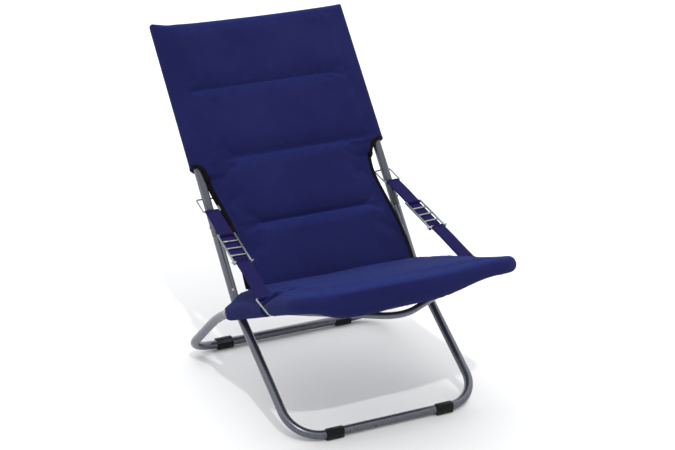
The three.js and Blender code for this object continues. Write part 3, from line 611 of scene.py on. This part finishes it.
# ---------------------------------------------------------------- padded sling
HOOD_TOP = UPRIGHT_LENGTH + SLEEVE_R
HOOD_HALF = BACK_X + SLEEVE_R
HOOD_CORNER = 0.008
MOUTH = (0.337, 0.377)            # the sleeves' mouths rise in an arch between these
BACK_LOW = 0.022                  # lower end of the back's padding, along the upright
WAIST_LEFT = np.polynomial.Polynomial.fit([0.02, 0.064, 0.10, 0.18, 0.214, 0.259, 0.281, 0.312, 0.345],
                                          [0.219, 0.218, 0.217, 0.211, 0.214, 0.223, 0.228, 0.233, 0.237], 5)
WAIST_RIGHT = np.polynomial.Polynomial.fit([0.02, 0.056, 0.10, 0.165, 0.195, 0.243, 0.294, 0.328, 0.345],
                                           [0.237, 0.238, 0.237, 0.232, 0.227, 0.219, 0.2135, 0.214,
                                            0.219], 5)
EDGE_R = 0.0045                   # half thickness of a bound edge
SLEEVE_FROM = 0.017               # rear mouths of the seat's sleeves, along the rail
NOTCH = (0.246, 0.286)            # the sleeve is open here for the arm's ring
NOTCH_HALF = 0.250
NOSE = RAIL_LENGTH + SLEEVE_R
SEAT_HALF = SEAT_X + SLEEVE_R
SEAT_REAR = -0.020
SEAT_REAR_HALF = 0.236
SEAT_REAR_LEVEL = 0.028           # of the pad's edge behind the sleeves' mouths, off the rails' plane
SEAT_TOP = np.polynomial.Polynomial.fit([-0.02, 0.02, 0.14, 0.265, 0.385, 0.461],
                                        [0.043, 0.045, 0.0425, 0.036, 0.0245, 0.019], 3)
SEAT_UNDER = np.polynomial.Polynomial.fit([0.02, 0.15, 0.25, 0.345, 0.415, 0.461],
                                          [0.018, 0.009, 0.004, -0.006, -0.016, -0.019], 3)
# Sewn lines and the puckers that run from their ends: from (x, s) to (x, s), depth at each end, half width
SEAMS = (
    (-0.212, 0.574, 0.180, 0.577, 0.0040, 0.0040, 0.008),
    (-0.147, 0.386, 0.205, 0.387, 0.0110, 0.0090, 0.010),
    (-0.134, 0.206, 0.154, 0.207, 0.0110, 0.0110, 0.010),
    (-0.147, 0.386, -0.186, 0.412, 0.0100, 0.0, 0.008),
    (-0.147, 0.386, -0.205, 0.376, 0.0080, 0.0, 0.009),
    (-0.170, 0.362, -0.212, 0.330, 0.0070, 0.0, 0.009),
    (0.205, 0.387, 0.242, 0.400, 0.0080, 0.0, 0.008),
    (0.150, 0.386, 0.196, 0.358, 0.0080, 0.0, 0.009),
    (0.176, 0.372, 0.212, 0.344, 0.0060, 0.0, 0.008),
    (-0.134, 0.206, -0.168, 0.238, 0.0100, 0.0, 0.008),
    (-0.134, 0.206, -0.184, 0.190, 0.0085, 0.0, 0.010),
    (0.154, 0.207, 0.194, 0.238, 0.0100, 0.0, 0.008),
    (0.154, 0.207, 0.204, 0.188, 0.0085, 0.0, 0.010),
    (-0.166, 0.142, -0.212, 0.116, 0.0055, 0.0, 0.011),
    (0.178, 0.152, 0.222, 0.124, 0.0055, 0.0, 0.011),
    (-0.180, 0.280, -0.214, 0.262, 0.0045, 0.0, 0.010),
    (0.168, 0.300, 0.208, 0.276, 0.0045, 0.0, 0.010),
)


def sewn(x, s):
    """How deep the sewn lines pull the padding in: the deepest bell, each fading along its line."""
    depth = np.zeros(np.broadcast(x, s).shape)
    for x0, s0, x1, s1, start, finish, width in SEAMS:
        run = np.array([x1 - x0, s1 - s0])
        t = np.clip(((x - x0) * run[0] + (s - s0) * run[1]) / (run @ run), 0, 1)
        off = np.hypot(x - x0 - t * run[0], s - s0 - t * run[1])
        bell = 0.45 * np.exp(-(off / width) ** 2) + 0.55 * np.exp(-off / (0.22 * width))
        depth = np.maximum(depth, (start + (finish - start) * t) * bell)
    return depth


def rise(distance, radius):
    """A quarter circle: 0 at the edge and 1 from the radius inwards."""
    q = np.clip(distance / radius, 0, 1)
    return np.sqrt(1 - (1 - q) ** 2)


def columns(count):
    """Places from -1 to 1 that lie closer together towards both ends."""
    t = np.linspace(-1, 1, count)
    return 0.45 * t + 0.55 * np.sin(np.pi * t / 2)


def rows(marks, spacing):
    """Places through the marks, about that far apart, closer together on both sides of each mark."""
    runs = []
    for a, b in zip(marks, marks[1:]):
        count = max(3, int((b - a) / spacing))
        t = np.linspace(0, 1, count + 1)
        runs.append(a + (b - a) * (0.6 * t + 0.4 * (1 - np.cos(np.pi * t)) / 2))
    return np.unique(np.concatenate(runs))


def waist(side, s):
    """Distance of the waist's edge from the chair's middle, on the left or the right side."""
    return (WAIST_LEFT if side < 0 else WAIST_RIGHT)(np.minimum(s, MOUTH[0]))


def back_outline(side, s):
    """Where the back ends on one side: waist, a quarter oval over the mouth's arch, hood, hood's corner."""
    past = np.clip(s - (HOOD_TOP - HOOD_CORNER), 0, HOOD_CORNER)
    hood = HOOD_HALF - HOOD_CORNER + np.sqrt(HOOD_CORNER ** 2 - past ** 2)
    t = np.clip((s - MOUTH[0]) / (MOUTH[1] - MOUTH[0]), 0, 1)
    edge = waist(side, s)
    return np.where(s < MOUTH[1], edge + (HOOD_HALF - edge) * (1 - np.sqrt(1 - t * t)), hood)


def arch(side, x):
    """Height of the mouth's arch along the upright at a distance x from the chair's middle."""
    edge = waist(side, MOUTH[0])
    q = np.clip((x - edge) / (HOOD_HALF - edge), 0, 1)
    return MOUTH[0] + (MOUTH[1] - MOUTH[0]) * np.sqrt(1 - (1 - q) ** 2)


def pad_middle(s):
    """How far the waist's edge lies ahead of the uprights."""
    return 0.004 + 0.018 * ease(0.32, 0.05, s)


def back_grid(spacing, count):
    """The back's closed skin: its front sheet from left to right, then its rear sheet from right to left.

    Each sheet is a height off the uprights' plane over (x, s). From the edge inwards it rises as a quarter
    circle, then as an eased dome; the sewn lines are taken away from both sheets. The top edge sags a little
    between its corners.
    """
    s = rows([BACK_LOW, 0.05, 0.206, 0.3, *MOUTH, 0.40, 0.575, HOOD_TOP - 0.028, HOOD_TOP - 0.006, HOOD_TOP],
             spacing)[:, None]
    left, right = back_outline(-1, s), back_outline(1, s)
    x = (right - left) / 2 + (right + left) / 2 * columns(count)[None]
    side = np.where(x < 0, left, right)
    to_side = side - np.abs(x)
    hood = ease(MOUTH[0], MOUTH[0] + 0.014, s)
    edge = np.where(x < 0, waist(-1, MOUTH[0]), waist(1, MOUTH[0]))
    above = s - np.where(x < 0, arch(-1, np.abs(x)), arch(1, np.abs(x)))
    above = np.maximum(above, 0) + 4 * np.maximum(edge - np.abs(x), 0) + 1e-9
    mouth = (s > MOUTH[0]) & (s < MOUTH[1])
    to_edge = np.where(mouth, to_side * above / np.hypot(to_side + 1e-9, above), to_side)
    to_edge = np.maximum(np.minimum(to_edge, HOOD_TOP - s), 0)
    radius = np.where(s < MOUTH[1], EDGE_R + 0.0015 * hood, SLEEVE_R - 0.0005)
    close = rise(to_edge, radius) * rise(s - BACK_LOW, 0.012)
    middle = pad_middle(s) * (1 - hood)
    belly = 0.0215 + 0.012 * ease(0.40, 0.05, s)
    dome = ease(0.004, 0.080, to_side)
    edge_front = middle + 0.0055 + (SLEEVE_R - 0.006) * hood
    seams = np.array([BACK_LOW - 0.02, 0.206, 0.386, 0.575, HOOD_TOP])
    low = np.clip(np.searchsorted(seams, s, side="right") - 1, 0, len(seams) - 2)
    t = (s - seams[low]) / (seams[low + 1] - seams[low])
    puff = np.sqrt(np.clip(4 * t * (1 - t), 0, 1)) * dome
    ripple = 0.0013 * np.sin(x * 23 + s * 9) * np.sin(s * 31 - x * 7) * dome
    front = edge_front + (belly - edge_front) * dome + 0.0050 * puff + ripple - sewn(x, s)
    edge_rear = middle - 0.0055 - (SLEEVE_R - 0.006) * hood
    belly_rear = -0.010 * hood + (1 - hood) * (-0.006 + 0.014 * ease(0.3, 0.06, s))
    rear = edge_rear + (belly_rear - edge_rear) * ease(0.012, 0.06, to_side)
    rear = rear - 0.0025 * puff + 0.55 * sewn(x, s)
    front = middle + close * (front - middle)
    rear = middle + close * (rear - middle)
    share = np.abs(x) / HOOD_HALF
    corner = np.where(x < 0, 0.011, 0.003)
    lift = corner * share ** 6 * ease(0.62, HOOD_TOP, s) - 0.003 * (1 - share ** 2) * ease(0.68, HOOD_TOP, s)
    lift = lift - 0.0016 * np.exp(-((x + 0.225) / 0.016) ** 2) * ease(0.73, HOOD_TOP, s)
    sheet_front = on_back(x, s + lift, front)
    sheet_rear = on_back(x, s + lift, rear)[:, ::-1]
    return np.concatenate([sheet_front, sheet_rear[:, 1:]], axis=1)


def seat_outline(r):
    """Half width of the seat: round front corners, sleeves cut at the notch, none behind their mouths."""
    corner = SEAT_CORNER_R + SLEEVE_R
    past = np.clip(r - (NOSE - corner), 0, corner)
    half = SEAT_HALF - corner + np.sqrt(np.maximum(corner ** 2 - past ** 2, 0))
    half = half - 0.004 * (1 - ease(SLEEVE_FROM, SLEEVE_FROM + 0.014, r))
    half = np.where((r > NOTCH[0]) & (r < NOTCH[1]), NOTCH_HALF, half)
    return np.where(r < SLEEVE_FROM, SEAT_REAR_HALF, half)


def seat_grid(spacing, count):
    """The seat's closed skin: its upper sheet from left to right, then its under sheet from right to left.

    Each sheet is a height off the rails' plane over (x, r). From the outline inwards it goes round the sleeve
    as a quarter circle, then eases to the pad's own height. In the middle of the front the round is wider,
    and the under sheet hangs below the front bar.
    """
    step = 0.0004
    r = rows([SEAT_REAR, SLEEVE_FROM - step, SLEEVE_FROM + step, 0.06, NOTCH[0] - step, NOTCH[0] + step,
              NOTCH[1] - step, NOTCH[1] + step, 0.40, NOSE - 0.03, NOSE - 0.006, NOSE], spacing)[:, None]
    half = seat_outline(r)
    x = half * columns(count)[None]
    corner = SEAT_CORNER_R + SLEEVE_R
    to_side = SEAT_HALF - np.abs(x)
    rounded = corner - np.hypot(np.maximum(np.abs(x) - (SEAT_HALF - corner), 0),
                                np.maximum(r - (NOSE - corner), 0))
    outline = np.minimum(np.minimum(to_side, NOSE - r), np.maximum(rounded, 0))
    centre = 1 - np.where(x < 0, ease(0.150, 0.300, -x), ease(0.05, 0.215, x))
    cut = ((r < SLEEVE_FROM) | ((r > NOTCH[0]) & (r < NOTCH[1]))).astype(float)
    trimmed = 1 - cut * (1 - rise(half - np.abs(x), 0.004))
    tail = rise(r - SEAT_REAR, 0.014)
    wide = SLEEVE_R + 0.038 * centre
    inner = ease(0.010, 0.060, outline)
    pad = SEAT_TOP(r)
    wave = 0.0011 * np.sin(x * 19 - r * 11) * np.sin(r * 27 + x * 6)
    upper = SLEEVE_R * rise(outline, wide) + (pad - SLEEVE_R + wave) * inner
    under_round = SLEEVE_R + 0.020 * centre
    droop = (0.027 + 0.004 * np.exp(-((x + 0.13) / 0.08) ** 2)) * centre * ease(0.30, 0.42, r)
    under = -(SLEEVE_R + droop) * rise(outline, under_round)
    under = under + (SEAT_UNDER(r) + SLEEVE_R) * ease(0.016, 0.065, outline)
    level = np.where(r < SLEEVE_FROM, SEAT_REAR_LEVEL, 0.0)
    upper = level + (upper - level) * trimmed * tail
    under = level + (under - level) * trimmed * tail
    sheet_upper = on_seat(x, r, upper)
    sheet_under = on_seat(x, r, under)[:, ::-1]
    return np.concatenate([sheet_upper, sheet_under[:, 1:]], axis=1)


def inflate(piece, hold, limit):
    """Blows a closed skin up under cloth pressure, with the held points in place.

    Hold is 1 where the skin is sewn or lies on a tube and 0 where it is free. The sum of all steps at a point
    is cut back to the limit.
    """
    start = np.empty(len(piece.data.vertices) * 3, np.float32)
    piece.data.vertices.foreach_get("co", start)
    start = start.reshape(-1, 3)
    soft = piece.copy()
    soft.data = piece.data.copy()
    bpy.context.scene.collection.objects.link(soft)
    group = soft.vertex_groups.new(name="held")
    level = np.round(np.clip(hold(start), 0, 1) * 10).astype(int)
    for step in range(1, 11):
        group.add(np.flatnonzero(level == step).tolist(), step / 10, "REPLACE")
    cloth = soft.modifiers.new("padding", "CLOTH")
    cloth.settings.vertex_group_mass = "held"
    cloth.settings.use_pressure = True
    cloth.settings.uniform_pressure_force = 4.0
    cloth.settings.quality = 4
    cloth.settings.mass = 0.25
    cloth.settings.tension_stiffness = 18
    cloth.settings.compression_stiffness = 14
    cloth.settings.bending_stiffness = 0.35
    cloth.settings.shrink_min = -0.012
    cloth.settings.effector_weights.gravity = 0
    cloth.collision_settings.use_collision = False
    cloth.point_cache.frame_end = 20
    for moment in range(1, 21):
        bpy.context.scene.frame_set(moment)
    ready = soft.evaluated_get(bpy.context.evaluated_depsgraph_get())
    blown = np.empty(start.size, np.float32)
    ready.data.vertices.foreach_get("co", blown)
    move = blown.reshape(-1, 3) - start
    size = np.linalg.norm(move, axis=1, keepdims=True)
    move = move * np.minimum(1, limit / np.maximum(size, 1e-9))
    piece.data.vertices.foreach_set("co", (start + move).ravel())
    piece.data.update()
    bpy.context.scene.frame_set(1)
    bpy.data.objects.remove(soft)


def hold_back(points):
    """1 on the sleeves, the bound edges and the sewn lines, less towards the middle of each panel."""
    place = points - PIVOT
    x, s = place[:, 0], place @ UPRIGHT
    side = np.where(x < 0, back_outline(-1, s), back_outline(1, s)) - np.abs(x)
    ends = np.maximum(ease(BACK_LOW + 0.03, BACK_LOW, s), ease(HOOD_TOP - 0.035, HOOD_TOP - 0.015, s))
    sleeve = ease(0.215, 0.235, np.abs(x)) * (s > MOUTH[0])
    seams = np.clip(sewn(x, s) / 0.0025, 0, 1)
    return np.maximum.reduce([ends, sleeve, ease(0.022, 0.008, side), seams]) * 0.98 + 0.02


def hold_seat(points):
    """1 on the sleeves and behind the pad, less towards its middle."""
    place = points - PIVOT
    x, r = place[:, 0], place @ RAIL
    ends = np.maximum(ease(SEAT_REAR + 0.03, SEAT_REAR, r), 0.7 * ease(NOSE - 0.06, NOSE - 0.02, r))
    return np.maximum(ends, ease(0.215, 0.245, np.abs(x))) * 0.98 + 0.02


def make_sling():
    """The padded sling: back and seat are joined into one piece, angled where they meet."""
    spacing, count = ((0.0056, 112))
    back = skin("sling_back", back_grid(spacing, count), NAVY)
    seat = skin("sling_seat", seat_grid(spacing, count), NAVY)
    inflate(back, hold_back, 0.0035)
    inflate(seat, hold_seat, 0.006)
    surface = np.empty(len(back.data.vertices) * 3, np.float32)
    back.data.vertices.foreach_get("co", surface)
    sling = joined("padded_sling", [back, seat])
    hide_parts("back_cover", "seat_cover")
    on_back(0, 0.062, 0.012)
    on_seat(0, 0.050, 0.030)
    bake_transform(sling)
    return surface.reshape(-1, 3)


def make_bindings():
    """Black tape folded over the waist's edge, on over the mouth's arch and round behind the tube.

    The mouth is a flat loop: distance across and height off the frame are the cosine and a power of the sine
    of one angle, and the place along the upright follows the arch.
    """
    for name, side in SIDES:
        s = np.linspace(0.045, MOUTH[0] - 0.004, 90)
        edge = on_back(side * (waist(side, s) - 0.0045), s, pad_middle(s))
        a = np.linspace(0.2, 2 * np.pi - 0.1, 60)
        inner = waist(side, MOUTH[0]) - 0.002
        outer = HOOD_HALF - 0.0035
        x = (outer + inner) / 2 - (outer - inner) / 2 * np.cos(a)
        n = 0.0180 * np.sign(np.sin(a)) * np.abs(np.sin(a)) ** 0.7
        loop = on_back(side * x, arch(side, x) + 0.003, n)
        turn = np.clip(a - np.pi / 2, 0, np.pi)[:, None]
        outward = np.cos(turn) * UPRIGHT_FRONT + np.sin(turn) * side * ACROSS
        facing = np.vstack([np.tile(UPRIGHT_FRONT, (len(s), 1)), outward])
        width = np.r_[np.full(len(s), 0.0095), 0.0095 - 0.0040 * ease(0.2, 1.6, a)]
        tape = skin(f"waist_binding_{name}", carried(np.vstack([edge, loop]), width, facing, 24, oval=0.62),
                    BINDING)
        settle(tape, "back_frame", "navy_sling")


def make_stitches(surface):
    """Thread along the back's sewn lines and the tape: short capsules, half sunk in the nearest surface."""
    place = surface - PIVOT
    flat = np.stack([place[:, 0], place @ UPRIGHT], 1)
    height = place @ UPRIGHT_FRONT
    ahead = height > np.where(flat[:, 1] < MOUTH[0], pad_middle(flat[:, 1]), 0)
    flat, height = flat[ahead], height[ahead]
    lines = [np.stack([np.linspace(x0, x1, int(math.hypot(x1 - x0, s1 - s0) / 0.0046)),
                       np.linspace(s0, s1, int(math.hypot(x1 - x0, s1 - s0) / 0.0046))], 1)
             for x0, s0, x1, s1, _, _, _ in SEAMS[:3]]
    for side in (-1, 1):
        s = np.arange(0.06, MOUTH[0] - 0.01, 0.0046)
        lines.append(np.stack([side * (waist(side, s) - 0.0185), s], 1))
    for number, line in enumerate(lines):
        near = ((line[:, None] - flat[None]) ** 2).sum(2).argmin(1)
        centre = on_back(line[:, 0], line[:, 1], height[near] + 0.0002)
        run = unit(np.gradient(centre, axis=0))
        second = unit(np.cross(run, UPRIGHT_FRONT))
        third = np.cross(second, run)
        along = 0.0017 * np.cos(np.linspace(0, np.pi, 7))[:, None]
        wide = 0.00055 * np.sin(np.linspace(0, np.pi, 7))[:, None] ** 0.6
        a = np.linspace(0, 2 * np.pi, 7)[None]
        grid = (centre[:, None, None] + (along + 0 * a)[None, ..., None] * run[:, None, None]
                + (wide * np.cos(a))[None, ..., None] * second[:, None, None]
                + (wide * np.sin(a))[None, ..., None] * third[:, None, None])
        settle(skin(f"stitches_{number}", grid, THREAD), "back_frame", "navy_sling")


# ---------------------------------------------------------------- strap arms
class Arm:
    """One arm's own directions: along it from the upright to the rail, across it, and up off it."""

    def __init__(self, side):
        self.top = on_back(side * BACK_X, RING_UPPER_AT)
        foot = on_seat(side * SEAT_X, RING_LOWER_AT)
        self.along = unit(foot - self.top)
        self.across = unit(ACROSS - self.along * (self.along @ ACROSS))
        self.up = np.cross(self.along, self.across)
        self.length = float(np.linalg.norm(foot - self.top))
        self.past_upright = self.slant(UPRIGHT)
        self.past_rail = self.slant(RAIL)

    def slant(self, tube_line):
        """How far a ring's wire passes from the centre of a tube that crosses its plane aslant."""
        return (TUBE_R + RING_WIRE_R + 0.0006) / math.sin(math.acos(float(self.along @ tube_line)))

    def place(self, s, x, n=0.0):
        s, x, n = np.broadcast_arrays(np.asarray(s, float), x, n)
        return self.top + s[..., None] * self.along + x[..., None] * self.across + n[..., None] * self.up


def wire_ring(arm, name, bar_at, far_at, bar_half, far_half, body, node):
    """Bent wire with a straight bar for the strap and a butt joint opposite."""
    gap = 0.0002
    corners = [arm.place(far_at, gap), arm.place(far_at, far_half), arm.place(bar_at, bar_half),
               arm.place(bar_at, -bar_half), arm.place(far_at, -far_half), arm.place(far_at, -gap)]
    path = bent(corners, [0.004, 0.003, 0.003, 0.004], math.radians(9))
    settle(skin(name, carried(path, RING_WIRE_R, arm.up, 20), WIRE), body, "wire_steel", node)


def strap(arm, name, start, finish):
    """Doubled webbing between two bars: a flat oval section, swelling where it goes round each bar.

    Its half thickness is the strap's own, or the circle round a bar where that is larger, and its edges are
    a power curve, so that they are thin and soft.
    """
    turn = np.linspace(0, np.pi / 2, 9)
    ends = STRAP_LOOP_R
    s = np.r_[start - ends * np.cos(turn), np.linspace(start + 0.002, finish - 0.002, 60),
              finish + ends * np.sin(turn)]
    s = np.unique(s)
    thick = np.full(len(s), STRAP_T * 0.85)
    for bar in (start, finish):
        inside = np.clip(1 - ((s - bar) / ends) ** 2, 0, 1)
        thick = np.maximum(thick * (np.abs(s - np.clip(s, start, finish)) < 1e-9), ends * np.sqrt(inside))
    angle = np.linspace(0, 2 * np.pi, 57)
    cosine, sine = np.cos(angle), np.sin(angle)
    across = STRAP_HALF * np.sign(cosine) * np.abs(cosine) ** 0.45
    lift = np.sign(sine) * np.abs(sine) ** 0.62
    bow = 0.0008 * np.sin((s - start) * 40)[:, None]
    grid = arm.place(s[:, None], across[None], thick[:, None] * lift[None] + bow)
    poles = [arm.place(np.full(57, s[0]), 0.0 * angle, 0.0), arm.place(np.full(57, s[-1]), 0.0 * angle, 0.0)]
    return skin(name, np.concatenate([poles[0][None], grid, poles[1][None]]), STRAP_NAVY)


def make_arm(name, side):
    """Rings, straps, ladder buckle and bar of one arm."""
    arm = Arm(side)
    wire_ring(arm, f"top_ring_{name}", RING_UPPER_BAR, -arm.past_upright, RING_HALF, RING_HALF, "back_frame",
              f"upper_ring_{name}")
    ring_bar = arm.length - RING_LOWER_BAR
    wire_ring(arm, f"rail_ring_{name}", ring_bar, arm.length + arm.past_rail, RING_HALF,
              TUBE_R + RING_WIRE_R + 0.002, "seat_frame", f"lower_ring_{name}")
    rungs = LADDER_FROM + RUNG_PITCH * np.arange(LADDER_RUNGS)
    wires = [skin(f"rung_{name}", carried(arm.place(s, np.linspace(-LADDER_HALF, LADDER_HALF, 4)), RUNG_R,
                                          arm.up, 16), WIRE) for s in rungs]
    for x in (-LADDER_HALF, LADDER_HALF):
        corners = [arm.place(LADDER_FROM - RING_WIRE_R, x), arm.place(HOOK_AT - HOOK_R, x),
                   arm.place(HOOK_AT, x, -HOOK_R), arm.place(HOOK_AT + HOOK_R, x),
                   arm.place(HOOK_AT + HOOK_R, x, HOOK_R)]
        path = bent(corners, [0.002] * 3, math.radians(9))
        wires.append(skin(f"rail_{name}", carried(path, LADDER_WIRE_R, arm.across, 16), WIRE))
    settle(joined(f"ladder_{name}", wires), f"arm_{name}", "wire_steel", f"ladder_buckle_{name}")
    bar_up = (RING_WIRE_R * 2 + FIT) * math.sqrt(2) - HOOK_R
    reach = LADDER_HALF + 0.007
    bar = tube(f"bar_{name}", [arm.place(HOOK_AT, -reach, bar_up), arm.place(HOOK_AT, reach, bar_up)], [],
               RING_WIRE_R, arm.up, WIRE, 20)
    settle(bar, f"arm_{name}", "wire_steel", f"strap_bar_{name}")
    upper = strap(arm, f"strap_top_{name}", RING_UPPER_BAR, LADDER_FROM)
    s = np.linspace(LADDER_FROM + 0.001, HOOK_AT - 0.013, 40)
    a = np.linspace(0, 2 * np.pi, 41)
    lift = FLAP_LIFT + 0.0014 * np.sign(np.sin(a)) * np.abs(np.sin(a)) ** 0.5
    over = STRAP_HALF * 0.97 * np.sign(np.cos(a)) * np.abs(np.cos(a)) ** 0.4
    body = arm.place(s[:, None], over[None], lift[None])
    poles = [arm.place(np.full(41, e), 0 * a, FLAP_LIFT)[None] for e in (s[0], s[-1])]
    flap = skin(f"flap_{name}", np.concatenate([poles[0], body, poles[1]]), STRAP_NAVY)
    upper = joined(f"upper_strap_web_{name}", [upper, flap])
    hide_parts(f"upper_strap_{name}")
    arm.place(RING_UPPER_BAR - 0.004, 0)
    arm.place(LADDER_FROM - 0.006, 0)
    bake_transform(upper)
    lower = strap(arm, f"lower_strap_web_{name}", HOOK_AT, ring_bar)
    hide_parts(f"lower_strap_{name}")
    span = ring_bar - HOOK_AT
    arm.place(HOOK_AT - 1.42 * span, 0)
    arm.place(ring_bar - 0.004, 0)
    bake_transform(lower)


# ---------------------------------------------------------------- camera, light and floor
def make_stage():
    """A pale floor, soft studio lights and the camera."""
    scene = bpy.context.scene
    scene.view_settings.view_transform = "Standard"
    yaw, pitch, roll = (math.radians(turn) for turn in CAMERA_TURNS)
    look = Vector((math.sin(yaw) * math.cos(pitch), math.cos(yaw) * math.cos(pitch), -math.sin(pitch)))
    right = Vector((math.cos(yaw), -math.sin(yaw), 0))
    up = right.cross(look)
    turned_right = right * math.cos(roll) + up * math.sin(roll)
    turned_up = up * math.cos(roll) - right * math.sin(roll)
    camera = bpy.data.objects.new("camera", bpy.data.cameras.new("camera"))
    scene.collection.objects.link(camera)
    camera.data.sensor_width = 36.0
    camera.data.lens = CAMERA_LENS
    camera.data.clip_start, camera.data.clip_end = 0.05, 100
    basis = Matrix((turned_right, turned_up, -look)).transposed().to_4x4()
    camera.matrix_world = Matrix.Translation(CAMERA_AT) @ basis
    scene.camera = camera

    floor = Finish("pale_floor", (0.78, 0.78, 0.78), 0.75)
    floor.feed("Base Color", floor.blend(floor.noise(1.5), (0.77, 0.77, 0.77), (0.795, 0.795, 0.795)))
    mesh = bpy.data.meshes.new("floor")
    corners = [(x * FLOOR_HALF, y * FLOOR_HALF, 0) for x, y in ((-1, -1), (1, -1), (1, 1), (-1, 1))]
    mesh.from_pydata(corners, [], [(0, 1, 2, 3)])
    mesh.materials.append(floor.material)
    ground = bpy.data.objects.new("floor", mesh)
    scene.collection.objects.link(ground)

    world = bpy.data.worlds.new("studio")
    scene.world = world
    world.use_nodes = True
    nodes, links = world.node_tree.nodes, world.node_tree.links
    where = nodes.new("ShaderNodeTexCoord")
    share = nodes.new("ShaderNodeVectorMath")
    share.operation = "DOT_PRODUCT"
    share.inputs[1].default_value = SKY_BRIGHTEST
    links.new(where.outputs["Generated"], share.inputs[0])
    ramp = nodes.new("ShaderNodeMapRange")
    ramp.inputs["From Min"].default_value = -0.1
    ramp.inputs["To Min"].default_value = 0.72
    ramp.inputs["To Max"].default_value = 1.80
    links.new(share.outputs["Value"], ramp.inputs["Value"])
    links.new(ramp.outputs["Result"], nodes["Background"].inputs["Strength"])
    nodes["Background"].inputs["Color"].default_value = (0.985, 0.99, 1.0, 1)

    sun = bpy.data.lights.new("window", "SUN")
    sun.energy = SUN_STRENGTH
    sun.angle = math.radians(SUN_ANGLE)
    lamp = bpy.data.objects.new("window", sun)
    scene.collection.objects.link(lamp)
    lamp.rotation_euler = Vector(SUN_FROM).to_track_quat("Z", "Y").to_euler()


make_stage()
make_tubes()
make_fasteners()
make_feet()
make_stitches(make_sling())
make_bindings()
for side_name, side_sign in SIDES:
    make_arm(side_name, side_sign)
